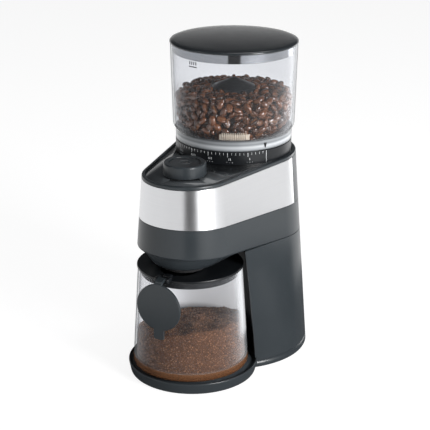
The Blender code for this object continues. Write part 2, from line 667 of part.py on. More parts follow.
def lid_parts(axis, mats):
    lid = [(0.0, 327.8), (40.0, 327.3), (62.0, 326.6), (64.6, 325.8), (65.0, 324.8), (65.0, 323.7),
           (0.0, 323.7)]
    add("hopper_lid", turned(in_metres(lid), FINE_ROUND), mats["body"], axis)
    ring = tube(60.2 * MM, 61.6 * MM, 314.4 * MM, 323.4 * MM, FINE_ROUND)
    add("lid_skirt_ring", ring, mats["chrome"], axis)


# Jar

def jar_parts(jar, axis, cap, mats):
    profile = [(0.0, 13.2), (57.0, 13.2), (58.45, 15.4), (52.2, 115.7), (49.8, 115.7), (55.9, 18.8),
               (53.4, 16.4), (0.0, 16.4)]
    add("grounds_jar", turned(in_metres(profile), FINE_ROUND), mats["clear"], jar)
    lid = [(0.0, 118.4), (52.4, 118.4), (53.2, 117.8), (53.2, 116.0), (49.3, 116.0), (49.3, 109.0),
           (47.4, 109.0), (47.4, 116.0), (0.0, 116.0)]
    top = add("jar_lid", turned(in_metres(lid), FINE_ROUND), mats["dark"], jar)
    fill_hole = rod(19.4 * MM, 105.0 * MM, 125.0 * MM, ROUND)
    combine(top, fill_hole, "DIFFERENCE", axis, (0.0, CAP_Y + 35.5 * MM, 0.0))
    for side in (-1, 1):
        span = sorted((side * 4.3 * MM, side * 7.8 * MM))
        lug = box((span[0], CAP_Y - 2.0 * MM, 116.4 * MM), (span[1], CAP_Y + 7.0 * MM, CAP_Z + 1.8 * MM))
        combine(top, lug, "UNION", axis)
        bore = rod(1.3 * MM, -10.0 * MM, 10.0 * MM, 12)
        bmesh.ops.rotate(bore, verts=bore.verts, matrix=Matrix.Rotation(math.pi / 2, 3, "Y"))
        combine(top, bore, "DIFFERENCE", cap)
    strap = box((-3.9 * MM, CAP_Y + 7.4 * MM, 117.8 * MM), (3.9 * MM, CAP_Y + 15.0 * MM, 120.4 * MM))
    combine(top, strap, "UNION", axis)
    cap_parts(cap, mats)


def cap_parts(cap, mats):
    """Cap on its strap, about its hinge: Y forward is negative, Z down is negative."""
    pin = rod(1.0 * MM, -7.4 * MM, 7.4 * MM, 12)
    bmesh.ops.rotate(pin, verts=pin.verts, matrix=Matrix.Rotation(math.pi / 2, 3, "Y"))
    add("cap_hinge_pin", pin, mats["steel"], cap)

    face = -(FRONT_REACH + CAP_Y)
    back = face + 2.8 * MM
    middle = -CAP_DROP
    plug_r = CAP_R - 4.8 * MM
    plug_end = back + 6.4 * MM
    ease = 0.8 * MM
    disc = turned([(0.0, plug_end), (plug_r - ease, plug_end), (plug_r, plug_end - ease), (plug_r, back),
                   (CAP_R, back), (CAP_R, face + ease), (CAP_R - ease, face), (0.0, face)], ROUND)
    bmesh.ops.rotate(disc, verts=disc.verts, matrix=Matrix.Rotation(-math.pi / 2, 3, "X"))
    bmesh.ops.translate(disc, vec=(0.0, 0.0, middle), verts=disc.verts)
    body = add("jar_cap", disc, mats["body"], cap)
    arm = [(0.0, 1.9), (-6.6, 0.4), (-8.3, -2.0), (-8.3, -8.0), (-6.0, -8.0), (-5.8, -3.4), (-3.0, -1.8),
           (0.0, -1.9)]
    combine(body, side_slab(in_metres(arm), 3.9 * MM), "UNION", cap)
    barrel = rod(2.1 * MM, -3.9 * MM, 3.9 * MM, 12)
    bmesh.ops.rotate(barrel, verts=barrel.verts, matrix=Matrix.Rotation(math.pi / 2, 3, "Y"))
    combine(body, barrel, "UNION", cap)
    bore = rod(1.2 * MM, -6.0 * MM, 6.0 * MM, 12)
    bmesh.ops.rotate(bore, verts=bore.verts, matrix=Matrix.Rotation(math.pi / 2, 3, "Y"))
    combine(body, bore, "DIFFERENCE", cap)
    edge = middle - CAP_R
    tab = box((-5.4 * MM, face + GAP, edge - 9.5 * MM), (5.4 * MM, back - GAP, edge + 3.0 * MM))
    combine(body, tab, "UNION", cap)


def main():
    clear_scene()
    mats = {
        "body": material("body_plastic", (0.045, 0.05, 0.055), 0.45),
        "dark": material("dark_plastic", (0.012, 0.013, 0.015), 0.4),
        "gloss": material("gloss_panel", (0.008, 0.008, 0.009), 0.08),
        "brushed": material("brushed_steel", (0.72, 0.72, 0.73), 0.3, 1.0),
        "chrome": material("bright_ring", (0.6, 0.61, 0.63), 0.15, 1.0),
        "steel": material("machined_steel", (0.5, 0.5, 0.52), 0.35, 1.0),
        "brass": material("brass", (0.6, 0.45, 0.2), 0.35, 1.0),
        "copper": material("copper", (0.6, 0.3, 0.18), 0.4, 1.0),
        "magnet": material("magnet_black", (0.03, 0.03, 0.03), 0.6),
        "nylon": material("white_nylon", (0.75, 0.74, 0.7), 0.5),
        "rubber": material("rubber", (0.02, 0.02, 0.02), 0.8),
        "board": material("circuit_board", (0.02, 0.12, 0.05), 0.5),
        "clear": material("clear_plastic", (0.85, 0.87, 0.88), 0.08, 0.0, 0.3),
    }
    axis = axis_empty("hopper_axis", 0.0, HOPPER_Y)
    tray_axis = axis_empty("tray_axis", 0.0, TRAY_Y, parent=axis)
    jar = axis_empty("jar_axis", 0.0, JAR_Y, parent=axis)
    cap = axis_empty("cap_axis", 0.0, CAP_Y, CAP_Z, axis)
    dial = axis_empty("dial_axis", 0.0, DIAL_Y, parent=axis)
    motor = axis_empty("motor_axis", 0.0, MOTOR_Y, parent=axis)
    idler = axis_empty("idler_axis", *IDLER, parent=axis)
    gearbox = axis_empty("gearbox_axis", *GEARBOX, parent=axis)

    base_parts(axis, tray_axis, mats)
    foot_and_screw_parts(axis, mats)
    tower_parts(axis, mats)
    gland_part(axis, mats)
    head_parts(axis, mats)
    motor_parts(motor, mats)
    gear_parts(axis, motor, idler, mats)
    gearbox_parts(axis, gearbox, motor, idler, mats)
    burr_parts(axis, mats)
    chute_part(axis, mats)
    electric_parts(axis, mats)
    dial_parts(dial, mats)
    hopper_parts(axis, mats)
    lid_parts(axis, mats)
    jar_parts(jar, axis, cap, mats)


main()
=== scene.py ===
# %% [markdown]
# # A burr coffee grinder
# A coffee grinder stands on three ideas: a clear hopper for the beans, a head that holds the burrs, and a clear
# jar that catches the ground coffee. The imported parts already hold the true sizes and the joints. This lesson
# loads them as a fixed frame, makes smooth shells where a curved surface shows, gives every part its finish,
# and fills the hopper and the jar.

import math

import bmesh
import bpy
from mathutils import Matrix, Vector, noise


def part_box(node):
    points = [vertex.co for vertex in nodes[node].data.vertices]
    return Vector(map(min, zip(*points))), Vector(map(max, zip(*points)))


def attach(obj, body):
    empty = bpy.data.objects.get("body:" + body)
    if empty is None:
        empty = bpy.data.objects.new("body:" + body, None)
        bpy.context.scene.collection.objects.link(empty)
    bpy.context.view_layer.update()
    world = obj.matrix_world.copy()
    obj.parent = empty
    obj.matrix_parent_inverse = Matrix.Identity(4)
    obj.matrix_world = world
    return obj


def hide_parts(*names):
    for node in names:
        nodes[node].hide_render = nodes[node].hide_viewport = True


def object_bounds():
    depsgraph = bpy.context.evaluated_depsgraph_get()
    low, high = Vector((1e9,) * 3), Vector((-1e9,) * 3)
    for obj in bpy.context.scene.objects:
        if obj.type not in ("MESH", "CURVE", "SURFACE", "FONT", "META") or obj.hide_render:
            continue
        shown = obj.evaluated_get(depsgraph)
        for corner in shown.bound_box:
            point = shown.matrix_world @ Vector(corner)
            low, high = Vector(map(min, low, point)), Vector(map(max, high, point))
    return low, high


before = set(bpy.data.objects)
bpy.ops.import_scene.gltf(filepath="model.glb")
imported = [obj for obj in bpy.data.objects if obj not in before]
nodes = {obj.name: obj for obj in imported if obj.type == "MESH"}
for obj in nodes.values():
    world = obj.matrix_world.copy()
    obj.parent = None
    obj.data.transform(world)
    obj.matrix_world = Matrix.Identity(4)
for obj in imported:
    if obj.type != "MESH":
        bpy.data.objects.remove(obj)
cad_low, cad_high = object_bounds()
MM = 0.001
print(f"{len(nodes)} parts, {', '.join(f'{(b - a) / MM:.0f} mm' for a, b in zip(cad_low, cad_high))}")

# %% [markdown]
# ## Where things are
# A maker measures from an axis, not from a corner. The hopper, the scale and the burrs share one vertical axis,
# so lengths along Y are given from that axis, in millimetres, and one function turns them into metres.

# %% Place by the hopper's axis
hopper_low, hopper_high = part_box("bean_hopper")
hopper_y = (hopper_low.y + hopper_high.y) / 2
jar_low, jar_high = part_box("grounds_jar")
JAR_Y = (jar_low.y + jar_high.y) / 2 / MM - hopper_y / MM
dial_low, dial_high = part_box("dial_knob")
DIAL_Y = (dial_low.y + dial_high.y) / 2 / MM - hopper_y / MM


def at(x, y, z):
    """A point in the frame, from millimetres about the hopper's axis."""
    return Vector((x * MM, hopper_y + y * MM, z * MM))


print(f"hopper axis at y {hopper_y:.4f} m, jar {JAR_Y:.1f} mm and dial {DIAL_Y:.1f} mm in front of it")

# %% [markdown]
# ## Camera
# A long lens from a little above keeps the tall body straight, because the far side is nearly as large as the
# near one. The grinder is turned a little, so that its front band and one flank both show.

# %% Camera
VIEW_AZIMUTH = 28.0
VIEW_PITCH = 20.01
LENS = 111.5
CAMERA_PLACE = (0.6008, -1.1302, 0.6169)
camera_data = bpy.data.cameras.new("studio_camera")
camera_data.lens = LENS
camera_data.sensor_width = 36.0
camera = bpy.data.objects.new("studio_camera", camera_data)
camera.location = CAMERA_PLACE
camera.rotation_euler = (math.radians(90.0 - VIEW_PITCH), 0.0, math.radians(VIEW_AZIMUTH))
bpy.context.scene.collection.objects.link(camera)
bpy.context.scene.camera = camera
bpy.context.scene.view_settings.view_transform = "Standard"
print(f"a {LENS} mm lens looks down {VIEW_PITCH} degrees, from {VIEW_AZIMUTH} degrees round to the right")

# %% [markdown]
# ## Shader maths in plain Python
# A material is a small sum. Wrapping a socket in a class that knows +, -, * and ** lets the sum be written as
# one line, and one method makes every other node from its type, its settings and its inputs.

# %% Shader helpers
class Value:
    """A node's output that can be added, multiplied and raised like a number."""

    def __init__(self, finish, socket):
        self.finish = finish
        self.socket = socket

    def sum(self, operation, first, second):
        return self.finish.node("Math", {"operation": operation}, {0: first, 1: second})

    def __add__(self, other):
        return self.sum("ADD", self, other)

    def __radd__(self, other):
        return self.sum("ADD", other, self)

    def __sub__(self, other):
        return self.sum("SUBTRACT", self, other)

    def __mul__(self, other):
        return self.sum("MULTIPLY", self, other)

    def __pow__(self, other):
        return self.sum("POWER", self, other)


class Finish:
    """One material: its nodes, and the Principled shader that they feed."""

    def __init__(self, name, color, roughness, metallic=0.0, **constants):
        self.material = bpy.data.materials.new(name)
        self.material.use_nodes = True
        self.tree = self.material.node_tree
        self.shader = self.tree.nodes["Principled BSDF"]
        self.output = self.tree.nodes["Material Output"]
        self.set("Base Color", (*color, 1.0))
        self.set("Roughness", roughness)
        self.set("Metallic", metallic)
        for socket, value in constants.items():
            self.set(socket.replace("_", " "), value)

    def join(self, value, socket):
        if isinstance(value, Value):
            self.tree.links.new(value.socket, socket)
        else:
            socket.default_value = value

    def set(self, socket, value):
        self.join(value, self.shader.inputs[socket])

    def node(self, kind, settings=None, inputs=None, output=0):
        made = self.tree.nodes.new(f"ShaderNode{kind}")
        for name, value in (settings or {}).items():
            if name == "stops":
                for place, color in value[1:-1]:
                    made.color_ramp.elements.new(place).color = color
                for end in (0, -1):
                    made.color_ramp.elements[end].position = value[end][0]
                    made.color_ramp.elements[end].color = value[end][1]
            else:
                setattr(made, name, value)
        for key, value in (inputs or {}).items():
            self.join(value, made.inputs[key])
        return Value(self, made.outputs[output])

    def place(self, scale=(1.0, 1.0, 1.0)):
        """Object coordinates in metres, stretched by scale."""
        where = self.node("TexCoord", output="Object")
        return self.node("Mapping", {}, {"Vector": where, "Scale": scale})

    def noise(self, size, stretch=(1.0, 1.0, 1.0), detail=2.0, roughness=0.5):
        """Noise from 0 to 1 whose lumps are about size millimetres."""
        return self.node("TexNoise", {}, {"Vector": self.place(stretch), "Scale": 1.0 / (size * MM),
                                          "Detail": detail, "Roughness": roughness})

    def between(self, factor, first, second):
        """A colour that runs from first to second."""
        return self.node("Mix", {"data_type": "RGBA"}, {"Factor": factor, 6: color4(first), 7: color4(second)}, 2)

    def bump(self, height, depth):
        """Relief of depth millimetres from a height of 0 to 1."""
        self.set("Normal", self.node("Bump", {}, {"Height": height, "Distance": depth * MM}))


def color4(color):
    return color if isinstance(color, Value) else (*color[:3], 1.0)


# %% [markdown]
# ## Floor and light
# The room is a plain white floor under a soft sky that is bright near the horizon and dim overhead, so that
# smooth tops shade from light to dark. Each softbox is an area lamp that looks at the middle of the grinder, so
# its highlight has soft edges. A lamp to the right does most of the work.

# %% World, floor and softboxes
HORIZON = (0.07, (1.0, 1.0, 1.0, 1.0))             # height of the direction, and the sky's colour there
OVERHEAD = (0.25, (0.06, 0.062, 0.066, 1.0))
FLOOR_R = 9.0
FLOOR_GLOW = 0.88
world = bpy.data.worlds.new("studio_sky")
world.use_nodes = True
bpy.context.scene.world = world
sky = world.node_tree
direction = sky.nodes.new("ShaderNodeTexCoord")
height = sky.nodes.new("ShaderNodeSeparateXYZ")
shade = sky.nodes.new("ShaderNodeValToRGB")
for i, (position, color) in enumerate((HORIZON, OVERHEAD)):
    shade.color_ramp.elements[i].position = position
    shade.color_ramp.elements[i].color = color
sky.links.new(direction.outputs["Generated"], height.inputs[0])
sky.links.new(height.outputs["Z"], shade.inputs[0])
sky.links.new(shade.outputs[0], sky.nodes["Background"].inputs["Color"])
sky.nodes["Background"].inputs["Strength"].default_value = 1.0

floor_finish = Finish("studio_floor", (0.25, 0.25, 0.25), 0.9, Specular_IOR_Level=0.0,
                      Emission_Color=(1.0, 1.0, 1.0, 1.0), Emission_Strength=FLOOR_GLOW)
bpy.ops.mesh.primitive_circle_add(vertices=96, radius=FLOOR_R, fill_type="NGON")
floor = bpy.context.object
floor.name = "studio_floor"
floor.data.materials.append(floor_finish.material)


LIT_MIDDLE = Vector((0.0, 0.0, 0.15))


def softbox(name, position, size, power):
    """A square lamp of size metres and power watts that looks at the middle of the grinder."""
    lamp = bpy.data.lights.new(name, "AREA")
    lamp.shape = "SQUARE"
    lamp.size = size
    lamp.energy = power
    obj = bpy.data.objects.new(name, lamp)
    obj.location = position
    obj.rotation_mode = "QUATERNION"
    obj.rotation_quaternion = (LIT_MIDDLE - Vector(position)).to_track_quat("-Z", "Y")
    bpy.context.scene.collection.objects.link(obj)
    print(f"{name}: {size} m, {power} W")


softbox("softbox_right", (1.4, -0.5, 0.58), 0.5, 32.0)
softbox("softbox_left", (-1.0, -1.1, 1.3), 0.32, 2.2)
softbox("softbox_front", (0.35, -1.4, 1.3), 0.12, 0.9)
softbox("softbox_behind", (0.30, 0.75, 0.16), 0.28, 0.7)
softbox("softbox_above", (0.2, 0.5, 1.9), 1.0, 9.0)

# %% [markdown]
# Brushed metal only looks like metal when it has something dark to show, so three black cards stand around the
# grinder, and a dark disc lies under it, as a table would be seen in its glossy lower walls. They show in
# reflections only, and are not part of the grinder.

# %% Black cards and the dark table
CARD_LOW = 0.001
TABLE_R, TABLE_Z, TABLE_STEPS = 0.3, 0.0004, 48


def reflected_only(name, mesh, finish):
    """Adds a mesh to the scene that only reflections show."""
    mesh.materials.append(finish.material)
    card = bpy.data.objects.new(name, mesh)
    bpy.context.scene.collection.objects.link(card)
    card.visible_camera = False
    card.visible_diffuse = False
    card.visible_transmission = False
    card.visible_shadow = False
    print(f"{name}: seen only in reflections")


def black_card(name, middle_y, azimuth, distance, width, height):
    """An upright card at a distance in metres from a middle point, and turned towards it."""
    turn = math.radians(azimuth)
    out, along = Vector((math.sin(turn), -math.cos(turn), 0.0)), Vector((math.cos(turn), math.sin(turn), 0.0))
    middle = Vector((0.0, middle_y, 0.0)) + out * distance
    corners = [middle + along * side * width / 2 + Vector((0.0, 0.0, z))
               for z in (CARD_LOW, height) for side in (-1, 1)]
    mesh = bpy.data.meshes.new(name)
    mesh.from_pydata(corners, [], [(0, 1, 3, 2)])
    reflected_only(name, mesh, card_finish)


card_finish = Finish("black_card", (0.03, 0.03, 0.03), 1.0, Specular_IOR_Level=0.0)
black_card("black_card_front", middle_y=-0.06, azimuth=35.0, distance=0.35, width=0.17, height=0.7)
black_card("black_card_behind", middle_y=0.0, azimuth=205.0, distance=0.7, width=0.45, height=0.3)
black_card("black_card_low", middle_y=0.0, azimuth=120.0, distance=0.2, width=0.10, height=0.09)
table_finish = Finish("dark_table", (0.16, 0.165, 0.17), 1.0, Specular_IOR_Level=0.0)
table = bpy.data.meshes.new("dark_table")
table_rim = [math.tau * i / TABLE_STEPS for i in range(TABLE_STEPS)]
table.from_pydata([(TABLE_R * math.cos(t), TABLE_R * math.sin(t), TABLE_Z) for t in table_rim], [],
                  [tuple(range(TABLE_STEPS))])
reflected_only("dark_table", table, table_finish)

# %% [markdown]
# ## Finishes
# The housing is moulded graphite plastic with a fine satin grain. Its colour is even, so the life comes from
# roughness that drifts a little and from relief a few hundredths of a millimetre deep. The jar's lid and the
# spout are a blacker plastic, and the top panel is polished.

# %% Moulded plastics
CLOUD_SIZE = 22.0
CLOUD_SHARE = 0.7
PALEST = 1.22
DRIFT = 0.07


def moulded(name, color, roughness, grain=0.35, relief=0.02, gloss=0.4):
    """Plastic from a mould, with a grain and a relief in millimetres."""
    made = Finish(name, color, roughness, IOR=1.5, Specular_IOR_Level=gloss)
    cloudy = made.noise(CLOUD_SIZE)
    grit = made.noise(grain, detail=3.0)
    lighter = tuple(min(1.0, c * PALEST) for c in color)
    made.set("Base Color", made.between(cloudy * CLOUD_SHARE + grit * (1.0 - CLOUD_SHARE), color, lighter))
    made.set("Roughness", roughness - DRIFT / 2 + cloudy * DRIFT)
    made.bump(grit, relief)
    print(f"{name}: roughness about {roughness}, grain {grain} mm")
    return made


body_plastic = moulded("graphite_plastic", (0.021, 0.0255, 0.029), 0.30)
lid_plastic = moulded("lid_plastic", (0.017, 0.020, 0.0225), 0.17)
dark_plastic = moulded("black_plastic", (0.006, 0.007, 0.0085), 0.33, gloss=0.35)
soft_rubber = moulded("foot_rubber", (0.016, 0.016, 0.017), 0.78, grain=0.6, relief=0.05)
nylon = moulded("natural_nylon", (0.62, 0.60, 0.55), 0.48, grain=0.8)
magnet_black = moulded("magnet_black", (0.028, 0.028, 0.03), 0.6)

panel_gloss = Finish("panel_gloss", (0.052, 0.057, 0.061), 0.12, IOR=1.52)
smudge = panel_gloss.noise(16.0, detail=4.0)
panel_gloss.set("Roughness", 0.09 + smudge * 0.07)

# %% [markdown]
# ## Metals
# The band's brush lines run level round the head, so its noise is stretched over a hundredfold along them. The
# shader's anisotropy then pulls each reflection out across the lines. Turned parts carry rings instead, and the
# ring under the lid is plated bright.

# %% Metals
LEVEL_LINES = (0.006, 0.006, 1.0)
TURNED_LINES = (0.02, 0.02, 1.0)
WINDINGS = (1.0, 1.0, 0.02)
BROAD = 9.0
FINE_SHARE = 0.65
SWING = 0.12


def streaked(name, color, roughness, stretch, size, contrast, relief, anisotropy=0.0, turn=0.0):
    """Metal whose fine streaks are size millimetres across and lie along the short sides of stretch."""
    made = Finish(name, color, roughness, 1.0, Anisotropic=anisotropy, Anisotropic_Rotation=turn)
    fine = made.noise(size, stretch, detail=4.0, roughness=0.7)
    broad = made.noise(size * BROAD, stretch)
    streak = fine * FINE_SHARE + broad * (1.0 - FINE_SHARE)
    darker = tuple(c * (1.0 - contrast) for c in color)
    made.set("Base Color", made.between(streak, darker, color))
    made.set("Roughness", roughness - SWING / 2 + streak * SWING)
    made.bump(fine, relief)
    print(f"{name}: roughness about {roughness}, streaks {size} mm")
    return made


brushed_steel = streaked("brushed_steel", (0.80, 0.805, 0.82), 0.33, LEVEL_LINES, size=0.16, contrast=0.14,
                         relief=0.002, anisotropy=0.7, turn=0.25)
turned_steel = streaked("turned_steel", (0.56, 0.56, 0.58), 0.32, TURNED_LINES, 0.4, 0.25, 0.006)
turned_brass = streaked("turned_brass", (0.66, 0.50, 0.24), 0.3, TURNED_LINES, 0.4, 0.2, 0.006)
wound_copper = streaked("wound_copper", (0.60, 0.29, 0.16), 0.38, WINDINGS, 0.5, 0.35, 0.05)
bright_ring = streaked("bright_ring", (0.36, 0.37, 0.385), 0.10, LEVEL_LINES, 0.5, 0.05, 0.001)

circuit_board = Finish("circuit_board", (0.02, 0.12, 0.05), 0.35, IOR=1.5)
tracks = circuit_board.noise(2.0, (1.0, 0.2, 0.2))
circuit_board.set("Base Color", circuit_board.between(tracks, (0.012, 0.08, 0.035), (0.03, 0.17, 0.07)))

# %% [markdown]
# ## Clear plastic
# Real clear plastic mirrors more and shows less of what is behind it towards its edges. A mix between a
# see-through shader and a polished one, weighted by how far the wall turns away, gives that without the noise
# that bent light would bring to a box full of beans. Its colour is also painted darker towards the edges, as
# painted shade. The far wall of the jar is painted milky and given a faint glow: a painted reflection of the
# bright room. The foot of each wall is painted solid in bands: greys for the hopper's collar behind it, with
# painted glints among them, and browns for the coffee that is packed against the jar.

# %% Clear plastic
HAZE, RIM_PAINTED_SHADE = (0.74, 0.75, 0.77), (0.13, 0.145, 0.155)
RIM_TURN = (0.66, 0.93)                 # how far the wall has turned away where its rim starts and where it ends
MILKY_DEPTH = (-0.004, 0.024)           # the same for the milky rear, in metres behind the axis
MILKY_RISE = 0.014
BASE_BLEND, BASE_DEPTH = 0.0006, 0.0109
EDGE_POWERS = (3.0, 8.0)                # a slow and a fast rise of the mirror towards the wall's edge
EDGE_SHARE = 0.5


def clear(name, tint, front_haze, rear_haze_and_reflection, rear_painted_glow, axis_y, milky_from, base_z, base_share, base_colors):
    """Clear plastic: painted milky and glowing behind its axis_y above milky_from, as a painted reflection of the
    room, painted darker towards its edges as painted shade, and painted solid below base_z.
    """
    made = Finish(name, (0.6, 0.62, 0.64), 0.05, IOR=1.49)

    def ramp(value, low, high, curve="LINEAR"):
        return made.node("MapRange", {"interpolation_type": curve},
                         {"Value": value, "From Min": low, "From Max": high})

    turned_away = made.node("LayerWeight", {}, {"Blend": 0.5}, "Facing")
    cloudy = made.noise(30.0)
    where = made.node("SeparateXYZ", {}, {0: made.place()})
    height, depth = (Value(made, where.socket.node.outputs[axis]) for axis in "ZY")
    # painted reflection: the wall's rear is made milky here and, by the emission below, glowing, in place of the
    # bright room it reflects
    rear_paint_mask = ramp(depth, axis_y + MILKY_DEPTH[0], axis_y + MILKY_DEPTH[1], "SMOOTHSTEP")
    rear_paint_mask = rear_paint_mask * ramp(height, milky_from, milky_from + MILKY_RISE, "SMOOTHSTEP")
    low = ramp(height, base_z + BASE_BLEND, base_z)
    share = front_haze + rear_paint_mask * (rear_haze_and_reflection - front_haze) + cloudy * 0.01 + low * base_share
    for power in EDGE_POWERS:
        share = share + turned_away ** power * EDGE_SHARE
    window = made.node("BsdfTransparent", {}, {"Color": (*tint, 1.0)})
    mixed = made.node("MixShader", {}, {0: share, 1: window, 2: Value(made, made.shader.outputs[0])})
    made.tree.links.new(mixed.socket, made.output.inputs["Surface"])
    # painted shade: the wall's colour turns dark towards its edges
    haze_and_rim_shade = made.between(ramp(turned_away, *RIM_TURN), HAZE, RIM_PAINTED_SHADE)
    stops = [(i / (len(base_colors) - 1), (*color, 1.0)) for i, color in enumerate(base_colors)]
    # the painted bands at the foot of the wall
    bands = made.node("ValToRGB", {"stops": stops}, {0: ramp(height, base_z - BASE_DEPTH, base_z)})
    made.set("Base Color", made.between(low, haze_and_rim_shade, bands))
    # a painted glow on the rear, in place of the room's reflection
    made.set("Emission Color", made.between(rear_paint_mask, (0.0, 0.0, 0.0), (rear_painted_glow,) * 3))
    made.set("Emission Strength", 1.0)
    made.set("Roughness", 0.03 + cloudy * 0.04)
    print(f"{name}: haze {front_haze} in front and {rear_haze_and_reflection} behind, solid below {base_z} m")
    return made


# Painted bands for the foot of each wall: greys for the hopper's collar seen through it, with painted bright glints
# among them, and browns, darker towards the bottom, for the coffee seen through the jar's thick floor.
COLLAR_BANDS_AND_GLINTS = [(0.04, 0.045, 0.05), (0.36, 0.38, 0.40), (0.54, 0.56, 0.58), (0.20, 0.215, 0.23), (0.30, 0.315, 0.33),
          (0.06, 0.065, 0.07)]
COFFEE_BASE = [(0.06, 0.022, 0.008), (0.13, 0.055, 0.024), (0.17, 0.08, 0.04)]
hopper_clear = clear("hopper_clear", (0.94, 0.945, 0.957), front_haze=0.01, rear_haze_and_reflection=0.05, rear_painted_glow=0.0,
                     axis_y=hopper_y, milky_from=0.27, base_z=0.2362, base_share=0.8, base_colors=COLLAR_BANDS_AND_GLINTS)
# the jar's rear is painted milky and glowing, a painted reflection of the room
jar_clear = clear("jar_clear", (0.955, 0.958, 0.968), front_haze=0.008, rear_haze_and_reflection=0.72, rear_painted_glow=0.30,
                  axis_y=JAR_Y * MM + hopper_y, milky_from=0.039, base_z=0.0215, base_share=0.55,
                  base_colors=COFFEE_BASE)

# %% [markdown]
# Inside parts are machined, wound, cast or moulded too, and they show when the grinder is opened. Each packed
# part names its stuff in its material slot, so one table gives every part its finish, the hidden ones included.

# %% Finish for every carried-over part
FINISHES = {
    "body_plastic": body_plastic, "dark_plastic": dark_plastic, "gloss_panel": panel_gloss,
    "brushed_steel": brushed_steel, "bright_ring": bright_ring, "machined_steel": turned_steel,
    "brass": turned_brass, "copper": wound_copper, "magnet_black": magnet_black, "white_nylon": nylon,
    "rubber": soft_rubber, "circuit_board": circuit_board, "clear_plastic": hopper_clear,
}
for name, node in nodes.items():
    for slot in node.material_slots:
        for key, made in FINISHES.items():
            if slot.material.name.startswith(key):
                slot.material = made.material
                break
print(f"{len(FINISHES)} finishes on {len(nodes)} parts")

# %% [markdown]
# ## Turning pieces
# Most of a grinder is round. A turned piece needs only half its outline: each (radius, height) point becomes a
# ring of corners, and neighbouring rings are joined. A small bevel eases the sharp edges, as a mould does, and
# weighted normals keep the large faces calm beside it.

# %% Mesh helpers
STEPS = 144
EASED_ANGLE = math.radians(32.0)


def shell(loops, ring=False, place=at):
    """A closed mesh through loops of equal count: the last joins the first in a ring, else both ends are capped."""
    count = len(loops[0])
    faces = []
    pairs = [(i, i + 1) for i in range(len(loops) - 1)]
    if ring:
        pairs.append((len(loops) - 1, 0))
    for a, b in pairs:
        for i in range(count):
            j = (i + 1) % count
            faces.append((a * count + i, a * count + j, b * count + j, b * count + i))
    if not ring:
        last = (len(loops) - 1) * count
        faces += [tuple(range(count))[::-1], tuple(range(last, last + count))]
    mesh = bpy.data.meshes.new("shell")
    mesh.from_pydata([place(*point) for loop in loops for point in loop], [], faces)
    tidy(mesh)
    return mesh


def tidy(mesh, doubled=0.002, sliver=0.001, fill=False):
    """Merge doubled corners, drop slivers, fill holes if asked, and turn every face outwards."""
    bm = bmesh.new()
    bm.from_mesh(mesh)
    if doubled:
        bmesh.ops.remove_doubles(bm, verts=bm.verts, dist=doubled * MM)
    if sliver:
        bmesh.ops.dissolve_degenerate(bm, edges=bm.edges, dist=sliver * MM)
    if fill:
        bmesh.ops.holes_fill(bm, edges=bm.edges)
    bmesh.ops.recalc_face_normals(bm, faces=bm.faces)
    bm.to_mesh(mesh)
    bm.free()


def circle(radius, z, centre=(0.0, 0.0), steps=STEPS):
    turns = [math.tau * i / steps for i in range(steps)]
    return [(centre[0] + radius * math.cos(t), centre[1] + radius * math.sin(t), z) for t in turns]


def turned(profile, centre=(0.0, 0.0), steps=STEPS, place=at):
    """A round mesh from (radius, height) points: a closed ring, or a solid if both ends are on the axis."""
    solid = profile[0][0] == 0.0
    return shell([circle(radius, z, centre, steps) for radius, z in profile], not solid, place)


def cylinder(radius, low, high, centre=(0.0, 0.0), steps=STEPS, place=at):
    return turned([(0.0, low), (radius, low), (radius, high), (0.0, high)], centre, steps, place)


def piece(name, mesh, finish, body, slot=None, replaced=(), ease=0.0):
    """A finished piece of the grinder: it gets its edges, its finish and the body that it rides on."""
    obj = bpy.data.objects.new(name, mesh)
    bpy.context.scene.collection.objects.link(obj)
    mesh.materials.clear()
    mesh.materials.append(finish.material)
    mesh.shade_smooth()
    if ease:
        bevel = obj.modifiers.new("eased_edges", "BEVEL")
        bevel.width = ease * MM
        bevel.segments = 3
        bevel.limit_method = "ANGLE"
        bevel.angle_limit = EASED_ANGLE
        calm = obj.modifiers.new("calm_faces", "WEIGHTED_NORMAL")
        calm.weight = 80
        calm.keep_sharp = True
    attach(obj, body)
    if replaced:
        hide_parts(*replaced)
    print(f"{name}: {len(mesh.polygons)} faces on {body}", *(f"in place of {other}" for other in replaced))


def merged(mesh, *others, operation="UNION"):
    """The mesh joined with, or cut by, other closed meshes."""
    whole = bpy.data.objects.new("whole", mesh)
    bpy.context.scene.collection.objects.link(whole)
    helpers = []
    for other in others:
        helper = bpy.data.objects.new("helper", other)
        bpy.context.scene.collection.objects.link(helper)
        helpers.append(helper)
        step = whole.modifiers.new("step", "BOOLEAN")
        step.operation = operation
        step.solver = "EXACT"
        step.object = helper
    made = bpy.data.meshes.new_from_object(whole.evaluated_get(bpy.context.evaluated_depsgraph_get()))
    for obj in (whole, *helpers):
        bpy.data.objects.remove(obj)
    return made


def block(low, high):
    """A box between two corners in millimetres."""
    (x0, y0, z0), (x1, y1, z1) = low, high
    square = [(x0, y0), (x1, y0), (x1, y1), (x0, y1)]
    return shell([[(x, y, z) for x, y in square] for z in (z0, z1)])


def side_plate(outline, half_width, place=at):
    """A plate of (y, z) outline, as wide as both half widths along X."""
    return shell([[(side * half_width, y, z) for y, z in outline] for side in (-1, 1)], place=place)


def spread(first, last, count):
    return [first + (last - first) * i / (count - 1) for i in range(count)]


print(f"a turned piece has {STEPS} steps, and edges sharper than {math.degrees(EASED_ANGLE):.0f} degrees are eased")

# %% [markdown]
# ## The outline of the housing
# Seen from above, the head is two arcs joined by straight sides, and it grows a little wider downwards so that
# it leaves its mould. Its lower edge slopes, so a height may be a number or a sloping plane. Writing the rule
# once gives the head, the steel band, the rim and the panel the same outline at every height.

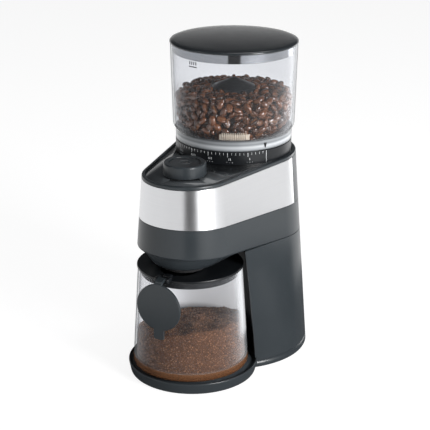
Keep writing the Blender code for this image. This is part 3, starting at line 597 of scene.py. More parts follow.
# %% Head and tower outlines
HEAD_TOP = 209.3
TOWER_TOP = 134.0
REAR_R, REAR_SPREAD, REAR_LEAN = 64.2, 17.6, 6.5        # at the head's top, and what is added down to the table
FRONT_R, FRONT_DRAFT, FRONT_Y = 45.2, math.tan(math.radians(4.4)), -97.0
BAND_LOW = (161.5, -0.06)                               # a plane: its height on the axis, and its slope along Y
HEAD_LOW = (129.5, -0.07)
BAND_END = math.radians(5.0)
SEAM = 0.01
BAY_R, BAY_LEAN, BAY_FOOT = 66.2, 9.8, 10.0
BAY_DEPTH = 3.9
TOWER_SIDE_Y, BAY_SIDE_Y = -60.0, -50.0


def rear_radius(z):
    return REAR_R + (HEAD_TOP - z) * REAR_SPREAD / HEAD_TOP


def rear_centre(z):
    return -REAR_LEAN * (HEAD_TOP - z) / HEAD_TOP


def front_radius(z):
    return FRONT_R + (HEAD_TOP - z) * FRONT_DRAFT


def side_angle(z):
    return math.asin((rear_radius(z) - front_radius(z)) / (rear_centre(z) - FRONT_Y))


def rear_point(turn, z, inset):
    reach = rear_radius(z) - inset
    return reach * math.cos(turn), rear_centre(z) + reach * math.sin(turn)


def front_point(turn, z, inset):
    reach = front_radius(z) - inset
    return reach * math.cos(turn), FRONT_Y + reach * math.sin(turn)


def tower_point(turn, z, inset):
    """The tower is round on the table and follows the head's straight sides at its top."""
    past = max(0.0, -turn - side_angle(TOWER_TOP), turn - math.pi - side_angle(TOWER_TOP))
    straight = z / TOWER_TOP
    reach = rear_radius(z) * (1.0 - straight + straight / math.cos(past)) - inset
    return reach * math.cos(turn), rear_centre(z) + reach * math.sin(turn)


def on_plane(point, turn, height, inset):
    """A point of an outline at a level height or on a sloping plane."""
    if not isinstance(height, tuple):
        return (*point(turn, height, inset), height)
    z = height[0]
    for _ in range(4):
        x, y = point(turn, z, inset)
        z = height[0] + height[1] * y
    return x, y, z


def raised(plane, rise):
    return plane[0] + rise, plane[1]


def height_at(height, y):
    return height[0] + height[1] * y if isinstance(height, tuple) else height


TILT = side_angle(170.0)


def head_loop(height, inset=0.0):
    front = [on_plane(front_point, t, height, inset) for t in spread(math.pi + TILT, math.tau - TILT, 72)]
    rear = [on_plane(rear_point, t, height, inset) for t in spread(-TILT, math.pi + TILT, 88)]
    return front + rear


def band_strip(height, inset):
    right = [on_plane(rear_point, t, height, inset) for t in spread(BAND_END, -TILT, 10)]
    front = [on_plane(front_point, t, height, inset) for t in spread(-TILT, TILT - math.pi, 90)]
    left = [on_plane(rear_point, t, height, inset) for t in spread(math.pi + TILT, math.pi - BAND_END, 10)]
    return right + front + left


def rear_strip(height, inset):
    turns = spread(BAND_END + SEAM, math.pi - BAND_END - SEAM, 80)
    return [on_plane(rear_point, t, height, inset) for t in turns]


def bay_radius(z):
    return BAY_R - BAY_LEAN * (z - BAY_FOOT) / (TOWER_TOP - BAY_FOOT)


def tower_corner(z, inset, bay):
    """Where the tower's side meets the recess around the jar, found by halving."""
    low, high = math.radians(-80.0), 0.0
    for _ in range(40):
        turn = (low + high) / 2
        x, y = tower_point(turn, z, inset)
        low, high = (turn, high) if math.hypot(x, y - JAR_Y) < bay else (low, turn)
    return high


def tower_strip(height, inset):
    z = height_at(height, TOWER_SIDE_Y)
    corner = tower_corner(z, 0.0, bay_radius(z))
    return [on_plane(tower_point, t, height, inset) for t in spread(corner, math.pi - corner, 120)]


def bay_strip(height, depth):
    z = height_at(height, BAY_SIDE_Y)
    reach = bay_radius(z) + depth
    x, y = tower_point(tower_corner(z, BAY_DEPTH, reach), z, BAY_DEPTH)
    start = math.atan2(y - JAR_Y, x)
    points = []
    for turn in spread(start, math.pi - start, 72):
        y = JAR_Y + reach * math.sin(turn)
        points.append((reach * math.cos(turn), y, height_at(height, y)))
    return points


def wall(strip, height, inner, outer):
    """A closed loop along a wall's outer face and back along its inner face."""
    return strip(height, outer) + strip(height, inner)[::-1]


print(f"the head is {2 * rear_radius(HEAD_TOP):.1f} mm wide at its top, its sides turn in by "
      f"{math.degrees(TILT):.1f} degrees, and the tower is {2 * rear_radius(0.0):.1f} mm wide on the table")

# %% [markdown]
# ## Housing
# The head's lower edge is rolled inwards, which is drawn as a quarter circle of loops. The band is a thin sheet
# let into a step of the head, and stops at the sides, where a plastic cover carries on round the back.

# %% Head, band and rim
FRONT_ROLL, TOWER_ROLL = 3.0, 0.6
ROLL_STARTS, ROLL_RUN = 35.0, 30.0      # where in front of the axis the roll opens out, and over how far


def edge_loop(turn):
    """One loop of the rolled edge, which is wide and round in front and tightens where it meets the tower."""
    wide, tight = (head_loop(raised(HEAD_LOW, roll * (1.0 - math.sin(turn))), roll * (1.0 - math.cos(turn)))
                   for roll in (FRONT_ROLL, TOWER_ROLL))
    points = []
    for a, b in zip(wide, tight):
        share = min(1.0, max(0.0, (-a[1] - ROLL_STARTS) / ROLL_RUN))
        points.append(tuple(share * p + (1.0 - share) * q for p, q in zip(a, b)))
    return points


rolled = [edge_loop(math.pi / 2 * step / 5) for step in range(6)]
sleeve, inner, head_rim = 1.9, 4.2, HEAD_TOP - 0.4
loops = rolled[::-1] + [head_loop(BAND_LOW), head_loop(BAND_LOW, sleeve), head_loop(head_rim, sleeve),
                        head_loop(head_rim, inner), head_loop(HEAD_LOW, inner)]
piece("head_case", shell(loops, ring=True), body_plastic, "housing", "body_plastic", ["head_housing"], 0.25)

band_low, band_high = raised(BAND_LOW, 0.3), HEAD_TOP - 0.1
loops = [wall(band_strip, z, 1.4, 0.0) for z in (band_low, band_high)]
piece("front_band", shell(loops), brushed_steel, "housing", "brushed_steel", ["steel_band"], 0.2)
loops = [wall(rear_strip, z, 1.4, 0.0) for z in (band_low, band_high)]
piece("back_cover", shell(loops), body_plastic, "housing", "body_plastic", ["rear_cover"], 0.25)

PANEL_Z = 211.5
rim_low, rim_top = HEAD_TOP + 0.2, PANEL_Z + 1.1
loops = [head_loop(rim_low), head_loop(rim_top - 1.0), head_loop(rim_top - 0.3, 0.3), head_loop(rim_top, 0.9),
         head_loop(rim_top, 3.4), head_loop(rim_low, 3.4)]
piece("panel_rim", shell(loops, ring=True), body_plastic, "housing", "body_plastic", ["top_bezel"], 0.2)
panel = shell([head_loop(PANEL_Z - 1.8, 3.7), head_loop(PANEL_Z + 0.7, 3.7)])
holes = [cylinder(57.0, 200.0, 220.0), cylinder(6.0, 200.0, 220.0, (0.0, DIAL_Y), 48)]
panel = merged(panel, *holes, operation="DIFFERENCE")
piece("control_panel", panel, panel_gloss, "housing", "gloss_panel", ["top_panel"])

# %% [markdown]
# The bowl under the head closes it over the jar. Every loop blends from the head's edge to the round spout
# plate, and the height follows a quarter sine, so that the bowl meets the plate without a crease.

# %% Bowl under the head
BOWL_FLAT = 124.6
SPOUT_Y = -106.0


BAY_GAP, BOWL_INSET = 0.6, 5.6
PLATE_R, SPOUT_R, BOWL_WALL = 28.0, 19.5, 2.0


def bowl_edge(turn):
    """A point of the bowl's upper edge: the head's outline, cut off by the recess round the jar."""
    bay = bay_radius(TOWER_TOP) - BAY_GAP
    tilt = side_angle(TOWER_TOP)
    reach = front_radius(TOWER_TOP) - BOWL_INSET
    normal = -tilt if math.cos(turn) >= 0 else math.pi + tilt
    off = math.atan2(math.sin(turn - normal), math.cos(turn - normal))
    if math.sin(turn) > -math.sin(tilt):
        reach = reach / max(math.cos(off), 0.05)
    shift = JAR_Y - FRONT_Y
    reach = min(reach, shift * math.sin(turn) + math.sqrt(bay ** 2 - (shift * math.cos(turn)) ** 2))
    return reach * math.cos(turn), FRONT_Y + reach * math.sin(turn)


def bowl_loop(blend, radius, drop=0.0):
    points = []
    for i in range(120):
        turn = math.tau * i / 120
        ex, ey = bowl_edge(turn)
        cx, cy = radius * math.cos(turn), SPOUT_Y + radius * math.sin(turn)
        high = height_at(HEAD_LOW, ey)
        z = high + (BOWL_FLAT - high) * math.sin(blend * math.pi / 2) + drop
        points.append((ex + (cx - ex) * blend, ey + (cy - ey) * blend, z))
    return points


blends = spread(0.0, 1.0, 10)
outer = [bowl_loop(blend, PLATE_R) for blend in blends] + [bowl_loop(1.0, SPOUT_R)]
inner_loops = [bowl_loop(1.0, SPOUT_R, BOWL_WALL)]
inner_loops += [bowl_loop(blend, PLATE_R - 1.0, BOWL_WALL) for blend in blends[::-1]]
piece("head_bowl", shell(outer + inner_loops, ring=True), body_plastic, "housing", "body_plastic",
      ["head_underside"])

# %% [markdown]
# ## Tower and base
# The tower's wall changes from round at the table to straight-sided under the head, so it needs many heights.
# A window for the vent and a hole for the cord gland are cut at the back.

# %% Tower
BASE_LOW, BASE_TOP = 1.2, 9.0
GLAND_Z = 20.0


def through_back(x, y, z):
    """Lays a turned piece on its side, so that its axis runs along Y where the cord leaves."""
    return at(x, z, GLAND_Z + y)


heights = spread(BASE_TOP + 0.3, 118.0, 12) + [raised(HEAD_LOW, -0.2)]
tower = shell([wall(tower_strip, z, 2.6, 0.0) for z in heights])
window = block((-17.2, 50.0, 29.5), (17.2, 90.0, 66.5))
tower = merged(tower, window, cylinder(5.9, 60.0, 90.0, steps=48, place=through_back), operation="DIFFERENCE")
piece("tower_wall", tower, body_plastic, "housing", "body_plastic", ["tower_shell"], 0.3)
loops = [wall(bay_strip, z, 2.4, 0.0) for z in heights]
piece("jar_bay", shell(loops), dark_plastic, "housing", "dark_plastic", ["tower_front"], 0.3)

# %% [markdown]
# The base is a disc joined to the shallow tray that the jar stands in. Wells under it take three screws and four
# rubber feet, so that the grinder stands on rubber alone.

# %% Base with its tray
TRAY_Y, TRAY_TOP = -88.5, 12.9
SCREWS = ((0.0, 5.0), (-27.0, 25.0), (27.0, 25.0))
FEET = ((-38.0, -120.0), (38.0, -120.0), (-50.0, 35.0), (50.0, 35.0))
plate = shell([circle(rear_radius(z) - inset, z, (0.0, rear_centre(z)))
               for z, inset in ((BASE_LOW, 1.2), (BASE_LOW + 0.4, 0.5), (BASE_LOW + 1.2, 0.0), (BASE_TOP, 0.0))])
tray = turned([(0.0, BASE_LOW), (63.2, BASE_LOW), (63.8, 1.6), (64.1, 2.3), (65.9, 11.2), (65.9, 12.1),
               (65.5, 12.7), (64.9, TRAY_TOP), (64.4, 12.6), (63.4, 9.8), (59.6, 9.8), (58.8, TRAY_TOP),
               (0.0, TRAY_TOP)], (0.0, TRAY_Y))
base = merged(plate, tray)
wells = [cylinder(3.9, -1.0, 4.0, spot, 24) for spot in SCREWS]
wells += [cylinder(7.6, -1.0, 2.9, spot, 32) for spot in FEET]
base = merged(base, *wells, operation="DIFFERENCE")
piece("base_and_tray", base, body_plastic, "housing", "body_plastic", ["base_plate"])

# %% [markdown]
# The gland is a soft rubber bush with a flange. It keeps the cord from bending sharply where it leaves, and the
# dust skirt under the spout is made of the same rubber: it closes the gap over the jar's fill hole.

# %% Cord gland and dust skirt
gland = [(3.6, 68.0), (5.5, 68.0), (5.5, 74.9), (7.9, 74.9), (8.0, 75.4), (7.8, 76.4), (7.0, 77.0), (3.9, 77.0)]
piece("cord_bush", turned(gland, steps=64, place=through_back), soft_rubber, "housing", "rubber", ["cord_gland"],
      0.2)
dust_skirt = [(20.2, 119.4), (21.4, 119.4), (22.2, 119.9), (24.5, 124.9), (19.6, 124.9)]
piece("spout_skirt", turned(dust_skirt, (0.0, SPOUT_Y), 96), soft_rubber, "housing", ease=0.2)

# %% [markdown]
# ## Dial, scale and hopper
# These are all turned about two axes. The knob is a cup round a post, and its middle is a button that sits just
# under its rim, so that a finger finds it.

# %% Dial and button
dial_axis = (0.0, DIAL_Y)
knob = [(2.6, 199.0), (4.3, 199.0), (4.3, 213.6), (20.4, 213.6), (21.0, 214.1), (21.1, 214.9), (20.9, 224.2),
        (20.6, 225.1), (19.8, 225.8), (15.9, 225.8), (15.6, 225.5), (15.5, 220.0), (2.6, 220.0)]
piece("dial", turned(knob, dial_axis, 120), body_plastic, "dial", "body_plastic", ["dial_knob"], 0.15)
button = [(0.0, 200.6), (2.1, 200.6), (2.1, 222.2), (14.4, 222.2), (15.1, 222.8), (15.1, 224.5), (14.9, 225.0),
          (14.4, 225.2), (0.0, 224.9)]
piece("button", turned(button, dial_axis, 120), body_plastic, "button", "dark_plastic", ["start_button"], 0.1)

# %% [markdown]
# The scale ring is fixed and the hopper turns in it. The hopper is one wall from its rim down to the throat: it
# leans in a little, steps in above the scale and slopes to a funnel. A dark ring round its foot locks it into the
# adjusting ring, so turning the hopper sets the burrs.

# %% Scale ring and hopper
scale = [(57.4, 211.8), (59.4, 211.8), (59.4, 224.8), (57.4, 224.8)]
piece("scale_drum", turned(scale), dark_plastic, "housing", "dark_plastic", ["scale_ring"], 0.25)
hopper = [(64.5, 323.4), (62.1, 241.0), (61.8, 239.6), (61.0, 237.9), (59.9, 236.4), (59.4, 235.2), (59.2, 225.3),
          (56.9, 225.3), (56.9, 230.4), (25.0, 213.6), (22.6, 210.0), (22.6, 205.0), (20.6, 205.0), (20.6, 210.6),
          (23.6, 215.6), (57.4, 235.6), (59.0, 237.8), (59.9, 241.4), (62.3, 323.4)]
piece("hopper_wall", turned(hopper, steps=180), hopper_clear, "hopper", "clear_plastic", ["bean_hopper"], 0.3)
base_ring = [(50.5, 207.3), (56.3, 207.3), (56.3, 224.9), (54.0, 224.9), (54.0, 212.0), (50.5, 212.0)]
piece("hopper_foot", turned(base_ring), dark_plastic, "hopper", "dark_plastic", ["hopper_base_ring"], 0.3)

# %% [markdown]
# Three fins under a cone keep fingers and large lumps off the burrs. The lid is a shallow dome, thin at its rim,
# with a plated ring below it that fits inside the hopper.

# %% Guard and lid
cone = turned([(0.0, 287.0), (3.0, 286.2), (21.4, 278.1), (22.0, 277.2), (22.0, 270.0), (20.0, 270.0),
               (20.0, 276.0), (0.0, 284.4)])
fin = [(19.0, 272.0), (21.6, 272.0), (31.0, 222.0), (31.0, 220.8), (27.0, 218.6), (25.0, 218.6), (19.0, 262.0)]


def turned_by(turn):
    c, s = math.cos(turn), math.sin(turn)
    return lambda x, y, z: at(c * x - s * y, s * x + c * y, z)


fins = [side_plate(fin, 1.2, turned_by(math.tau * i / 3)) for i in range(3)]
piece("guard", merged(cone, *fins), dark_plastic, "hopper", "dark_plastic", ["finger_guard"], 0.3)
lid = [(0.0, 327.8), (14.0, 327.75), (28.0, 327.6), (40.0, 327.35), (52.0, 327.0), (60.0, 326.7), (63.0, 326.4),
       (64.4, 325.8), (64.9, 325.2), (65.0, 324.6), (65.0, 324.0), (64.7, 323.7), (0.0, 323.7)]
piece("lid", turned(lid, steps=180), lid_plastic, "lid", "body_plastic", ["hopper_lid"])
lid_skirt = [(60.2, 314.4), (61.6, 314.4), (61.6, 323.4), (60.2, 323.4)]
piece("lid_ring", turned(lid_skirt, steps=180), bright_ring, "lid", "bright_ring", ["lid_skirt_ring"], 0.3)

# %% [markdown]
# ## Grounds jar
# The jar has a thick floor and a wall that leans in. Its lid is a plug with an off-centre fill hole under the
# spout, and the hole's cap hangs in front on a strap that is hinged between two lugs.

# %% Jar and its lid
CAP_Y, CAP_Z = -149.5, 119.8            # the axis of the cap's hinge
jar_axis = (0.0, JAR_Y)
jar = [(0.0, 13.2), (55.6, 13.2), (56.8, 13.4), (57.8, 14.1), (58.3, 15.2), (58.3, 16.4), (52.2, 115.7),
       (49.8, 115.7), (55.9, 18.8), (55.4, 17.5), (54.4, 16.7), (53.4, 16.4), (0.0, 16.4)]
piece("jar_wall", turned(jar, jar_axis, 180), jar_clear, "jar", "clear_plastic", ["grounds_jar"], 0.3)
jar_plug = turned([(0.0, 118.4), (52.3, 118.4), (52.9, 118.2), (53.2, 117.7), (53.2, 116.3), (52.9, 116.0),
                   (49.3, 116.0), (49.3, 109.0), (47.4, 109.0), (47.4, 116.0), (0.0, 116.0)], jar_axis)
fill_hole = cylinder(19.4, 105.0, 125.0, (0.0, CAP_Y + 35.5), 96)
jar_plug = merged(jar_plug, fill_hole, operation="DIFFERENCE")
piece("jar_cover", jar_plug, dark_plastic, "jar", "dark_plastic", ["jar_lid"], 0.2)
for side, label in ((-1, "left"), (1, "right")):
    span = sorted((side * 4.3, side * 7.8))
    lug = block((span[0], CAP_Y - 2.0, 116.6), (span[1], CAP_Y + 7.0, CAP_Z + 1.8))
    piece(f"cap_lug_{label}", lug, dark_plastic, "jar", "dark_plastic", ease=1.4)
anchor = block((-3.9, CAP_Y + 7.4, 117.8), (3.9, CAP_Y + 15.0, 120.4))
piece("cap_anchor", anchor, dark_plastic, "jar", "dark_plastic", ease=1.2)
splash_hole = cylinder(6.0, 105.0, 115.0, (0.0, SPOUT_Y - 16.0), 48)
splash_plate = merged(cylinder(47.2, 109.0, 109.9, jar_axis), splash_hole, operation="DIFFERENCE")
piece("splash_plate", splash_plate, dark_plastic, "jar", "dark_plastic")

# %% [markdown]
# The cap is a shallow plug with a finger tab. Its strap bends over the jar's edge to a barrel, and the hinge pin
# runs through the barrel along X.

# %% Jar cap on its strap
CAP_R, CAP_MIDDLE = 24.0, CAP_Z - 26.8
FACE_Y = -158.0
BACK_Y = FACE_Y + 2.8


def facing_front(x, y, z):
    """Lays a turned piece on its side, so that its axis runs along Y through the cap's middle."""
    return at(x, z, CAP_MIDDLE + y)


def along_hinge(x, y, z):
    """Lays a turned piece along the cap's hinge."""
    return at(z, CAP_Y + y, CAP_Z + x)


disc = turned([(0.0, BACK_Y + 6.4), (18.4, BACK_Y + 6.4), (19.0, BACK_Y + 6.1), (19.2, BACK_Y + 5.5),
               (19.2, BACK_Y), (23.7, BACK_Y), (CAP_R, BACK_Y - 0.4), (CAP_R, FACE_Y + 0.9),
               (CAP_R - 0.3, FACE_Y + 0.3), (CAP_R - 1.0, FACE_Y), (0.0, FACE_Y)], steps=120, place=facing_front)
arm = [(0.0, 1.9), (-2.0, 1.8), (-4.6, 1.2), (-6.6, 0.2), (-7.8, -1.4), (-8.3, -3.2), (-8.3, -8.0), (-6.0, -8.0),
       (-5.8, -3.8), (-4.8, -2.2), (-3.0, -1.6), (0.0, -1.9)]
strap = side_plate([(CAP_Y + y, CAP_Z + z) for y, z in arm], 3.8)
barrel = cylinder(1.95, -3.85, 3.85, steps=32, place=along_hinge)
edge = CAP_MIDDLE - CAP_R
tab_outline = [(-5.4, edge + 3.0), (-5.4, edge - 7.4), (-4.8, edge - 8.9), (-3.4, edge - 9.5), (3.4, edge - 9.5),
               (4.8, edge - 8.9), (5.4, edge - 7.4), (5.4, edge + 3.0)]
tab = shell([[(x, y, z) for x, z in tab_outline] for y in (FACE_Y + 0.3, BACK_Y - 0.3)])
pin_hole = cylinder(1.15, -6.0, 6.0, steps=24, place=along_hinge)
cap = merged(merged(disc, strap, barrel, tab), pin_hole, operation="DIFFERENCE")
piece("fill_cap", cap, body_plastic, "cap", "body_plastic", ["jar_cap"], 0.25)

# %% [markdown]
# ## Geometry Nodes for what repeats
# Scale marks, ribs, beans and grains are one small shape placed many times. A tree with named inputs does the
# placing, and its result is turned into a plain mesh, because instances don't survive an export.

# %% A geometry node tree
class Tree:
    """A geometry node group whose inputs have names."""

    def __init__(self, name, **inputs):
        self.group = bpy.data.node_groups.new(name, "GeometryNodeTree")
        face = self.group.interface
        face.new_socket("Geometry", in_out="INPUT", socket_type="NodeSocketGeometry")
        self.keys = {}
        for label, kind in inputs.items():
            socket = face.new_socket(label, in_out="INPUT", socket_type=f"NodeSocket{kind}")
            self.keys[label] = socket.identifier
        face.new_socket("Geometry", in_out="OUTPUT", socket_type="NodeSocketGeometry")
        self.enter = self.group.nodes.new("NodeGroupInput")
        self.leave = self.group.nodes.new("NodeGroupOutput")

    def input(self, label):
        return self.enter.outputs[label]

    def node(self, kind, settings=None, inputs=None, output=0):
        made = self.group.nodes.new(kind)
        for name, value in (settings or {}).items():
            setattr(made, name, value)
        for key, value in (inputs or {}).items():
            if isinstance(value, bpy.types.NodeSocket):
                self.group.links.new(value, made.inputs[key])
            else:
                made.inputs[key].default_value = value
        return made.outputs[output]

    def math(self, operation, first, second):
        return self.node("ShaderNodeMath", {"operation": operation}, {0: first, 1: second})

    def close(self, geometry, finish):
        """Real geometry with its material, as the last two steps."""
        real = self.node("GeometryNodeRealizeInstances", {}, {0: geometry})
        dressed = self.node("GeometryNodeSetMaterial", {}, {0: real, "Material": finish.material})
        self.group.links.new(dressed, self.leave.inputs[0])

    def grow(self, mesh, **values):
        """The plain mesh that the tree makes from a base mesh."""
        base = bpy.data.objects.new("base", mesh)
        bpy.context.scene.collection.objects.link(base)
        modifier = base.modifiers.new("tree", "NODES")
        modifier.node_group = self.group
        for label, value in values.items():
            modifier[self.keys[label]] = value
        made = bpy.data.meshes.new_from_object(base.evaluated_get(bpy.context.evaluated_depsgraph_get()))
        bpy.data.objects.remove(base)
        return made


# %% [markdown]
# ## Marks on the scale and the hopper
# Each mark is a thin slip of ink a little proud of its wall, stood on a ring at an even step. The long ones come
# every twenty degrees with four short ones between. In place of words, rows of dots that grow and of bars that
# count up say which way the grind turns coarse.

# %% Inks
def uneven(name, color, lowest, spread_by, size):
    """A dull finish whose roughness varies over size millimetres."""
    made = Finish(name, color, lowest)
    made.set("Roughness", lowest + made.noise(size) * spread_by)
    print(f"{name}: roughness {lowest} to {lowest + spread_by:.2f}")
    return made


white_ink = uneven("white_ink", (0.62, 0.64, 0.65), 0.42, 0.15, 1.0)
grey_ink = uneven("grey_ink", (0.09, 0.095, 0.10), 0.42, 0.15, 1.0)
black_ink = uneven("black_ink", (0.01, 0.01, 0.012), 0.38, 0.15, 1.0)
frosted = uneven("frosted_ribs", (0.50, 0.42, 0.33), 0.35, 0.2, 2.0)


# %% [markdown]
# One tree makes every ring of marks. It stands a line of points on a circle, and puts a slip or a dot at each
# point that faces outwards.

# %% Ring of marks
def mark_tree(finish, round_marks=False):
    tree = Tree("ring_of_marks", Marks="Int", First="Float", Step="Float", Radius="Float", Middle="Float",
                Width="Float", Height="Float", Proud="Float")
    line = tree.node("GeometryNodeMeshLine", {}, {"Count": tree.input("Marks"), "Offset": (0.0, 0.0, 0.0)})
    index = tree.node("GeometryNodeInputIndex")
    turn = tree.math("ADD", tree.input("First"), tree.math("MULTIPLY", index, tree.input("Step")))
    x = tree.math("MULTIPLY", tree.input("Radius"), tree.math("COSINE", turn, 0.0))
    y = tree.math("MULTIPLY", tree.input("Radius"), tree.math("SINE", turn, 0.0))
    spot = tree.node("ShaderNodeCombineXYZ", {}, {0: x, 1: y, 2: tree.input("Middle")})
    points = tree.node("GeometryNodeSetPosition", {}, {0: line, "Position": spot})
    size = tree.node("ShaderNodeCombineXYZ", {}, {0: tree.input("Proud"), 1: tree.input("Width"),
                                                  2: tree.input("Height")})
    if round_marks:
        dot = tree.node("GeometryNodeMeshCylinder", {}, {"Vertices": 20, "Radius": 0.5, "Depth": 1.0})
        mark = tree.node("GeometryNodeTransform", {}, {0: dot, "Rotation": (0.0, math.pi / 2, 0.0), "Scale": size})
    else:
        mark = tree.node("GeometryNodeMeshCube", {}, {"Size": size})
    facing = tree.node("ShaderNodeCombineXYZ", {}, {2: turn})
    marks = tree.node("GeometryNodeInstanceOnPoints", {}, {0: points, "Instance": mark, "Rotation": facing})
    tree.close(marks, finish)
    return tree


def marks(name, tree, finish, body, first, step, count, radius, middle, width, height, proud=0.14,
          slot="dark_plastic"):
    """A ring of marks about the hopper's axis, with angles in degrees and sizes in millimetres."""
    mesh = tree.grow(bpy.data.meshes.new("empty"), Marks=count, First=math.radians(first), Step=math.radians(step),
                     Radius=radius * MM, Middle=middle * MM, Width=width * MM, Height=height * MM,
                     Proud=proud * MM)
    mesh.transform(at_origin)
    piece(name, mesh, finish, body, slot)


at_origin = Matrix.Translation(at(0.0, 0.0, 0.0))
FINE, LONG_STEP, SHORT_STEP = -29.5, 19.5, 3.9
on_scale = {"finish": white_ink, "body": "housing", "radius": 59.43}
slips, dots = mark_tree(white_ink), mark_tree(white_ink, True)
marks("scale_fine_end", slips, first=FINE, step=1.0, count=1, middle=218.3, width=0.45, height=12.2, **on_scale)
marks("scale_long", slips, first=FINE - 8 * LONG_STEP, step=LONG_STEP, count=8, middle=222.1, width=0.5, height=4.4,
      **on_scale)
for i in range(8):
    marks(f"scale_short_{i + 1}", slips, first=FINE - i * LONG_STEP - SHORT_STEP, step=-SHORT_STEP, count=4,
          middle=223.1, width=0.35, height=2.4, **on_scale)
for i in range(6):
    dot, middle = 0.8 + 0.2 * i, FINE - (i + 0.9) * LONG_STEP
    marks(f"scale_dots_{i + 1}", dots, first=middle - 2.6, step=2.6, count=3, middle=214.5, width=dot, height=dot,
          **on_scale)
    marks(f"scale_bars_{i + 1}", slips, first=middle - 0.75 * i, step=1.5, count=i + 1, middle=217.6, width=0.5,
          height=2.3, **on_scale)

# %% [markdown]
# The hopper carries a line that says how far to fill it, with four bars above in place of words. The button has
# a printed ring. The ribs stand in the hopper's throat, behind the front wall, on a curved strip that ties them
# together, and they are frosted as moulded ribs in clear plastic are.

# %% Fill mark and button ring
black_slips = mark_tree(black_ink)
marks("fill_mark", black_slips, black_ink, "hopper", first=-101.5, step=1.0, count=1, radius=63.98, middle=309.0,
      width=10.0, height=0.9, proud=0.2)
marks("fill_mark_bars", black_slips, black_ink, "hopper", first=-105.0, step=2.3, count=4, radius=64.08,
      middle=312.6, width=1.0, height=3.2, proud=0.2)
ring_mark = turned([(4.9, 225.0), (5.5, 225.0), (5.5, 225.22), (4.9, 225.22)], dial_axis, 64)
piece("button_ring", ring_mark, grey_ink, "button", "dark_plastic")

# %% Ribs in the hopper
RIBS_FROM, RIBS_TO = math.radians(-77.0), math.radians(-47.0)


def arc(radius, first, last):
    return [(radius * math.cos(t), radius * math.sin(t)) for t in spread(first, last, 24)]


marks("throat_ribs", mark_tree(frosted), frosted, "hopper", first=-74.0, step=2.1, count=12, radius=58.0,
      middle=240.6, width=1.2, height=7.6, proud=0.8, slot="clear_plastic")
strip = arc(57.2, RIBS_FROM, RIBS_TO) + arc(57.9, RIBS_TO, RIBS_FROM)
rib_back = shell([[(x, y, z) for x, y in strip] for z in (237.0, 242.6)])
piece("throat_rib_plate", rib_back, frosted, "hopper", "clear_plastic", ease=0.2)

# %% [markdown]
# ## Coffee beans
# A roasted bean is a flattened egg with a crease along its flat side. One bean of a few dozen faces is enough,
# because it repeats hundreds of times: the crease is one row of corners pushed in, and an attribute marks it
# for the pale skin that stays there. The beans lie on a bed just inside the wall, and each one is turned,
# rolled and scaled at random and keeps its own depth of roast.

# %% One bean
HALF_LENGTH, HALF_WIDTH, BACK, FLAT = 4.9, 3.5, 3.2, 2.0        # the back's height and the flat side's depth
TIP_Z, CREASE_Z = 0.6, -0.25
BLUNT_SIDE, BLUNT_BACK = 0.85, 0.8      # powers under 1 keep the bean's ends blunt


def bean_mesh(rings=7, around=12):
    """A bean along X with its flat side down, and its crease marked by an attribute."""
    corners, crease, faces = [(-HALF_LENGTH, 0.0, TIP_Z)], [0.0], []
    for i in range(1, rings):
        t = math.pi * i / rings
        for j in range(around):
            a = math.tau * j / around - math.pi / 2
            groove = j == 0
            depth = CREASE_Z if groove else math.sin(a) * (BACK if math.sin(a) > 0 else FLAT)
            corners.append((-HALF_LENGTH * math.cos(t), HALF_WIDTH * math.sin(t) ** BLUNT_SIDE * math.cos(a),
                            TIP_Z + math.sin(t) ** BLUNT_BACK * (depth - TIP_Z)))
            crease.append(float(groove))
    corners.append((HALF_LENGTH, 0.0, TIP_Z))
    crease.append(0.0)
    last = len(corners) - 1
    for j in range(around):
        k = (j + 1) % around
        faces.append((0, 1 + k, 1 + j))
        for i in range(rings - 2):
            a, b = 1 + i * around, 1 + (i + 1) * around
            faces.append((a + j, a + k, b + k, b + j))
        faces.append((last, 1 + (rings - 2) * around + j, 1 + (rings - 2) * around + k))
    mesh = bpy.data.meshes.new("bean")
    mesh.from_pydata([(x * MM, y * MM, z * MM) for x, y, z in corners], [], faces)
    mesh.attributes.new("crease_line", "FLOAT", "POINT").data.foreach_set("value", crease)
    tidy(mesh, doubled=0.0, sliver=0.0)
    return mesh


bean_pattern = bpy.data.objects.new("bean_pattern", bean_mesh())
bpy.context.scene.collection.objects.link(bean_pattern)
print(f"a bean has {len(bean_pattern.data.polygons)} faces")

# %% [markdown]
# A roasted bean is a little oily, so a thin coat lies over a dark brown that differs from bean to bean.

# %% Roasted finish
roasted = Finish("roasted_bean", (0.09, 0.035, 0.016), 0.3, IOR=1.6, Coat_Weight=0.5, Coat_Roughness=0.09)
roast = roasted.node("Attribute", {"attribute_name": "roast"}, output="Fac")
skin = roasted.node("Attribute", {"attribute_name": "crease_line"}, output="Fac")
mottle = roasted.noise(1.6, detail=3.0)
shell_color = roasted.between(roast * 0.75 + mottle * 0.25, (0.015, 0.0045, 0.002), (0.19, 0.066, 0.024))
roasted.set("Base Color", roasted.between(skin ** 3.0 * 0.75, shell_color, (0.30, 0.15, 0.07)))
roasted.set("Roughness", 0.14 + mottle * 0.2)
roasted.bump(mottle, 0.12)
print("roasted finish: one colour for each bean, from its own depth of roast")


# %% [markdown]
# Beans and grains are scattered by the same rule: points at least a spacing apart on a bed, and at each point a
# copy of the pattern that is spun freely, tilted a little and scaled.

# %% Scatter tree
TONE_SEED = 7


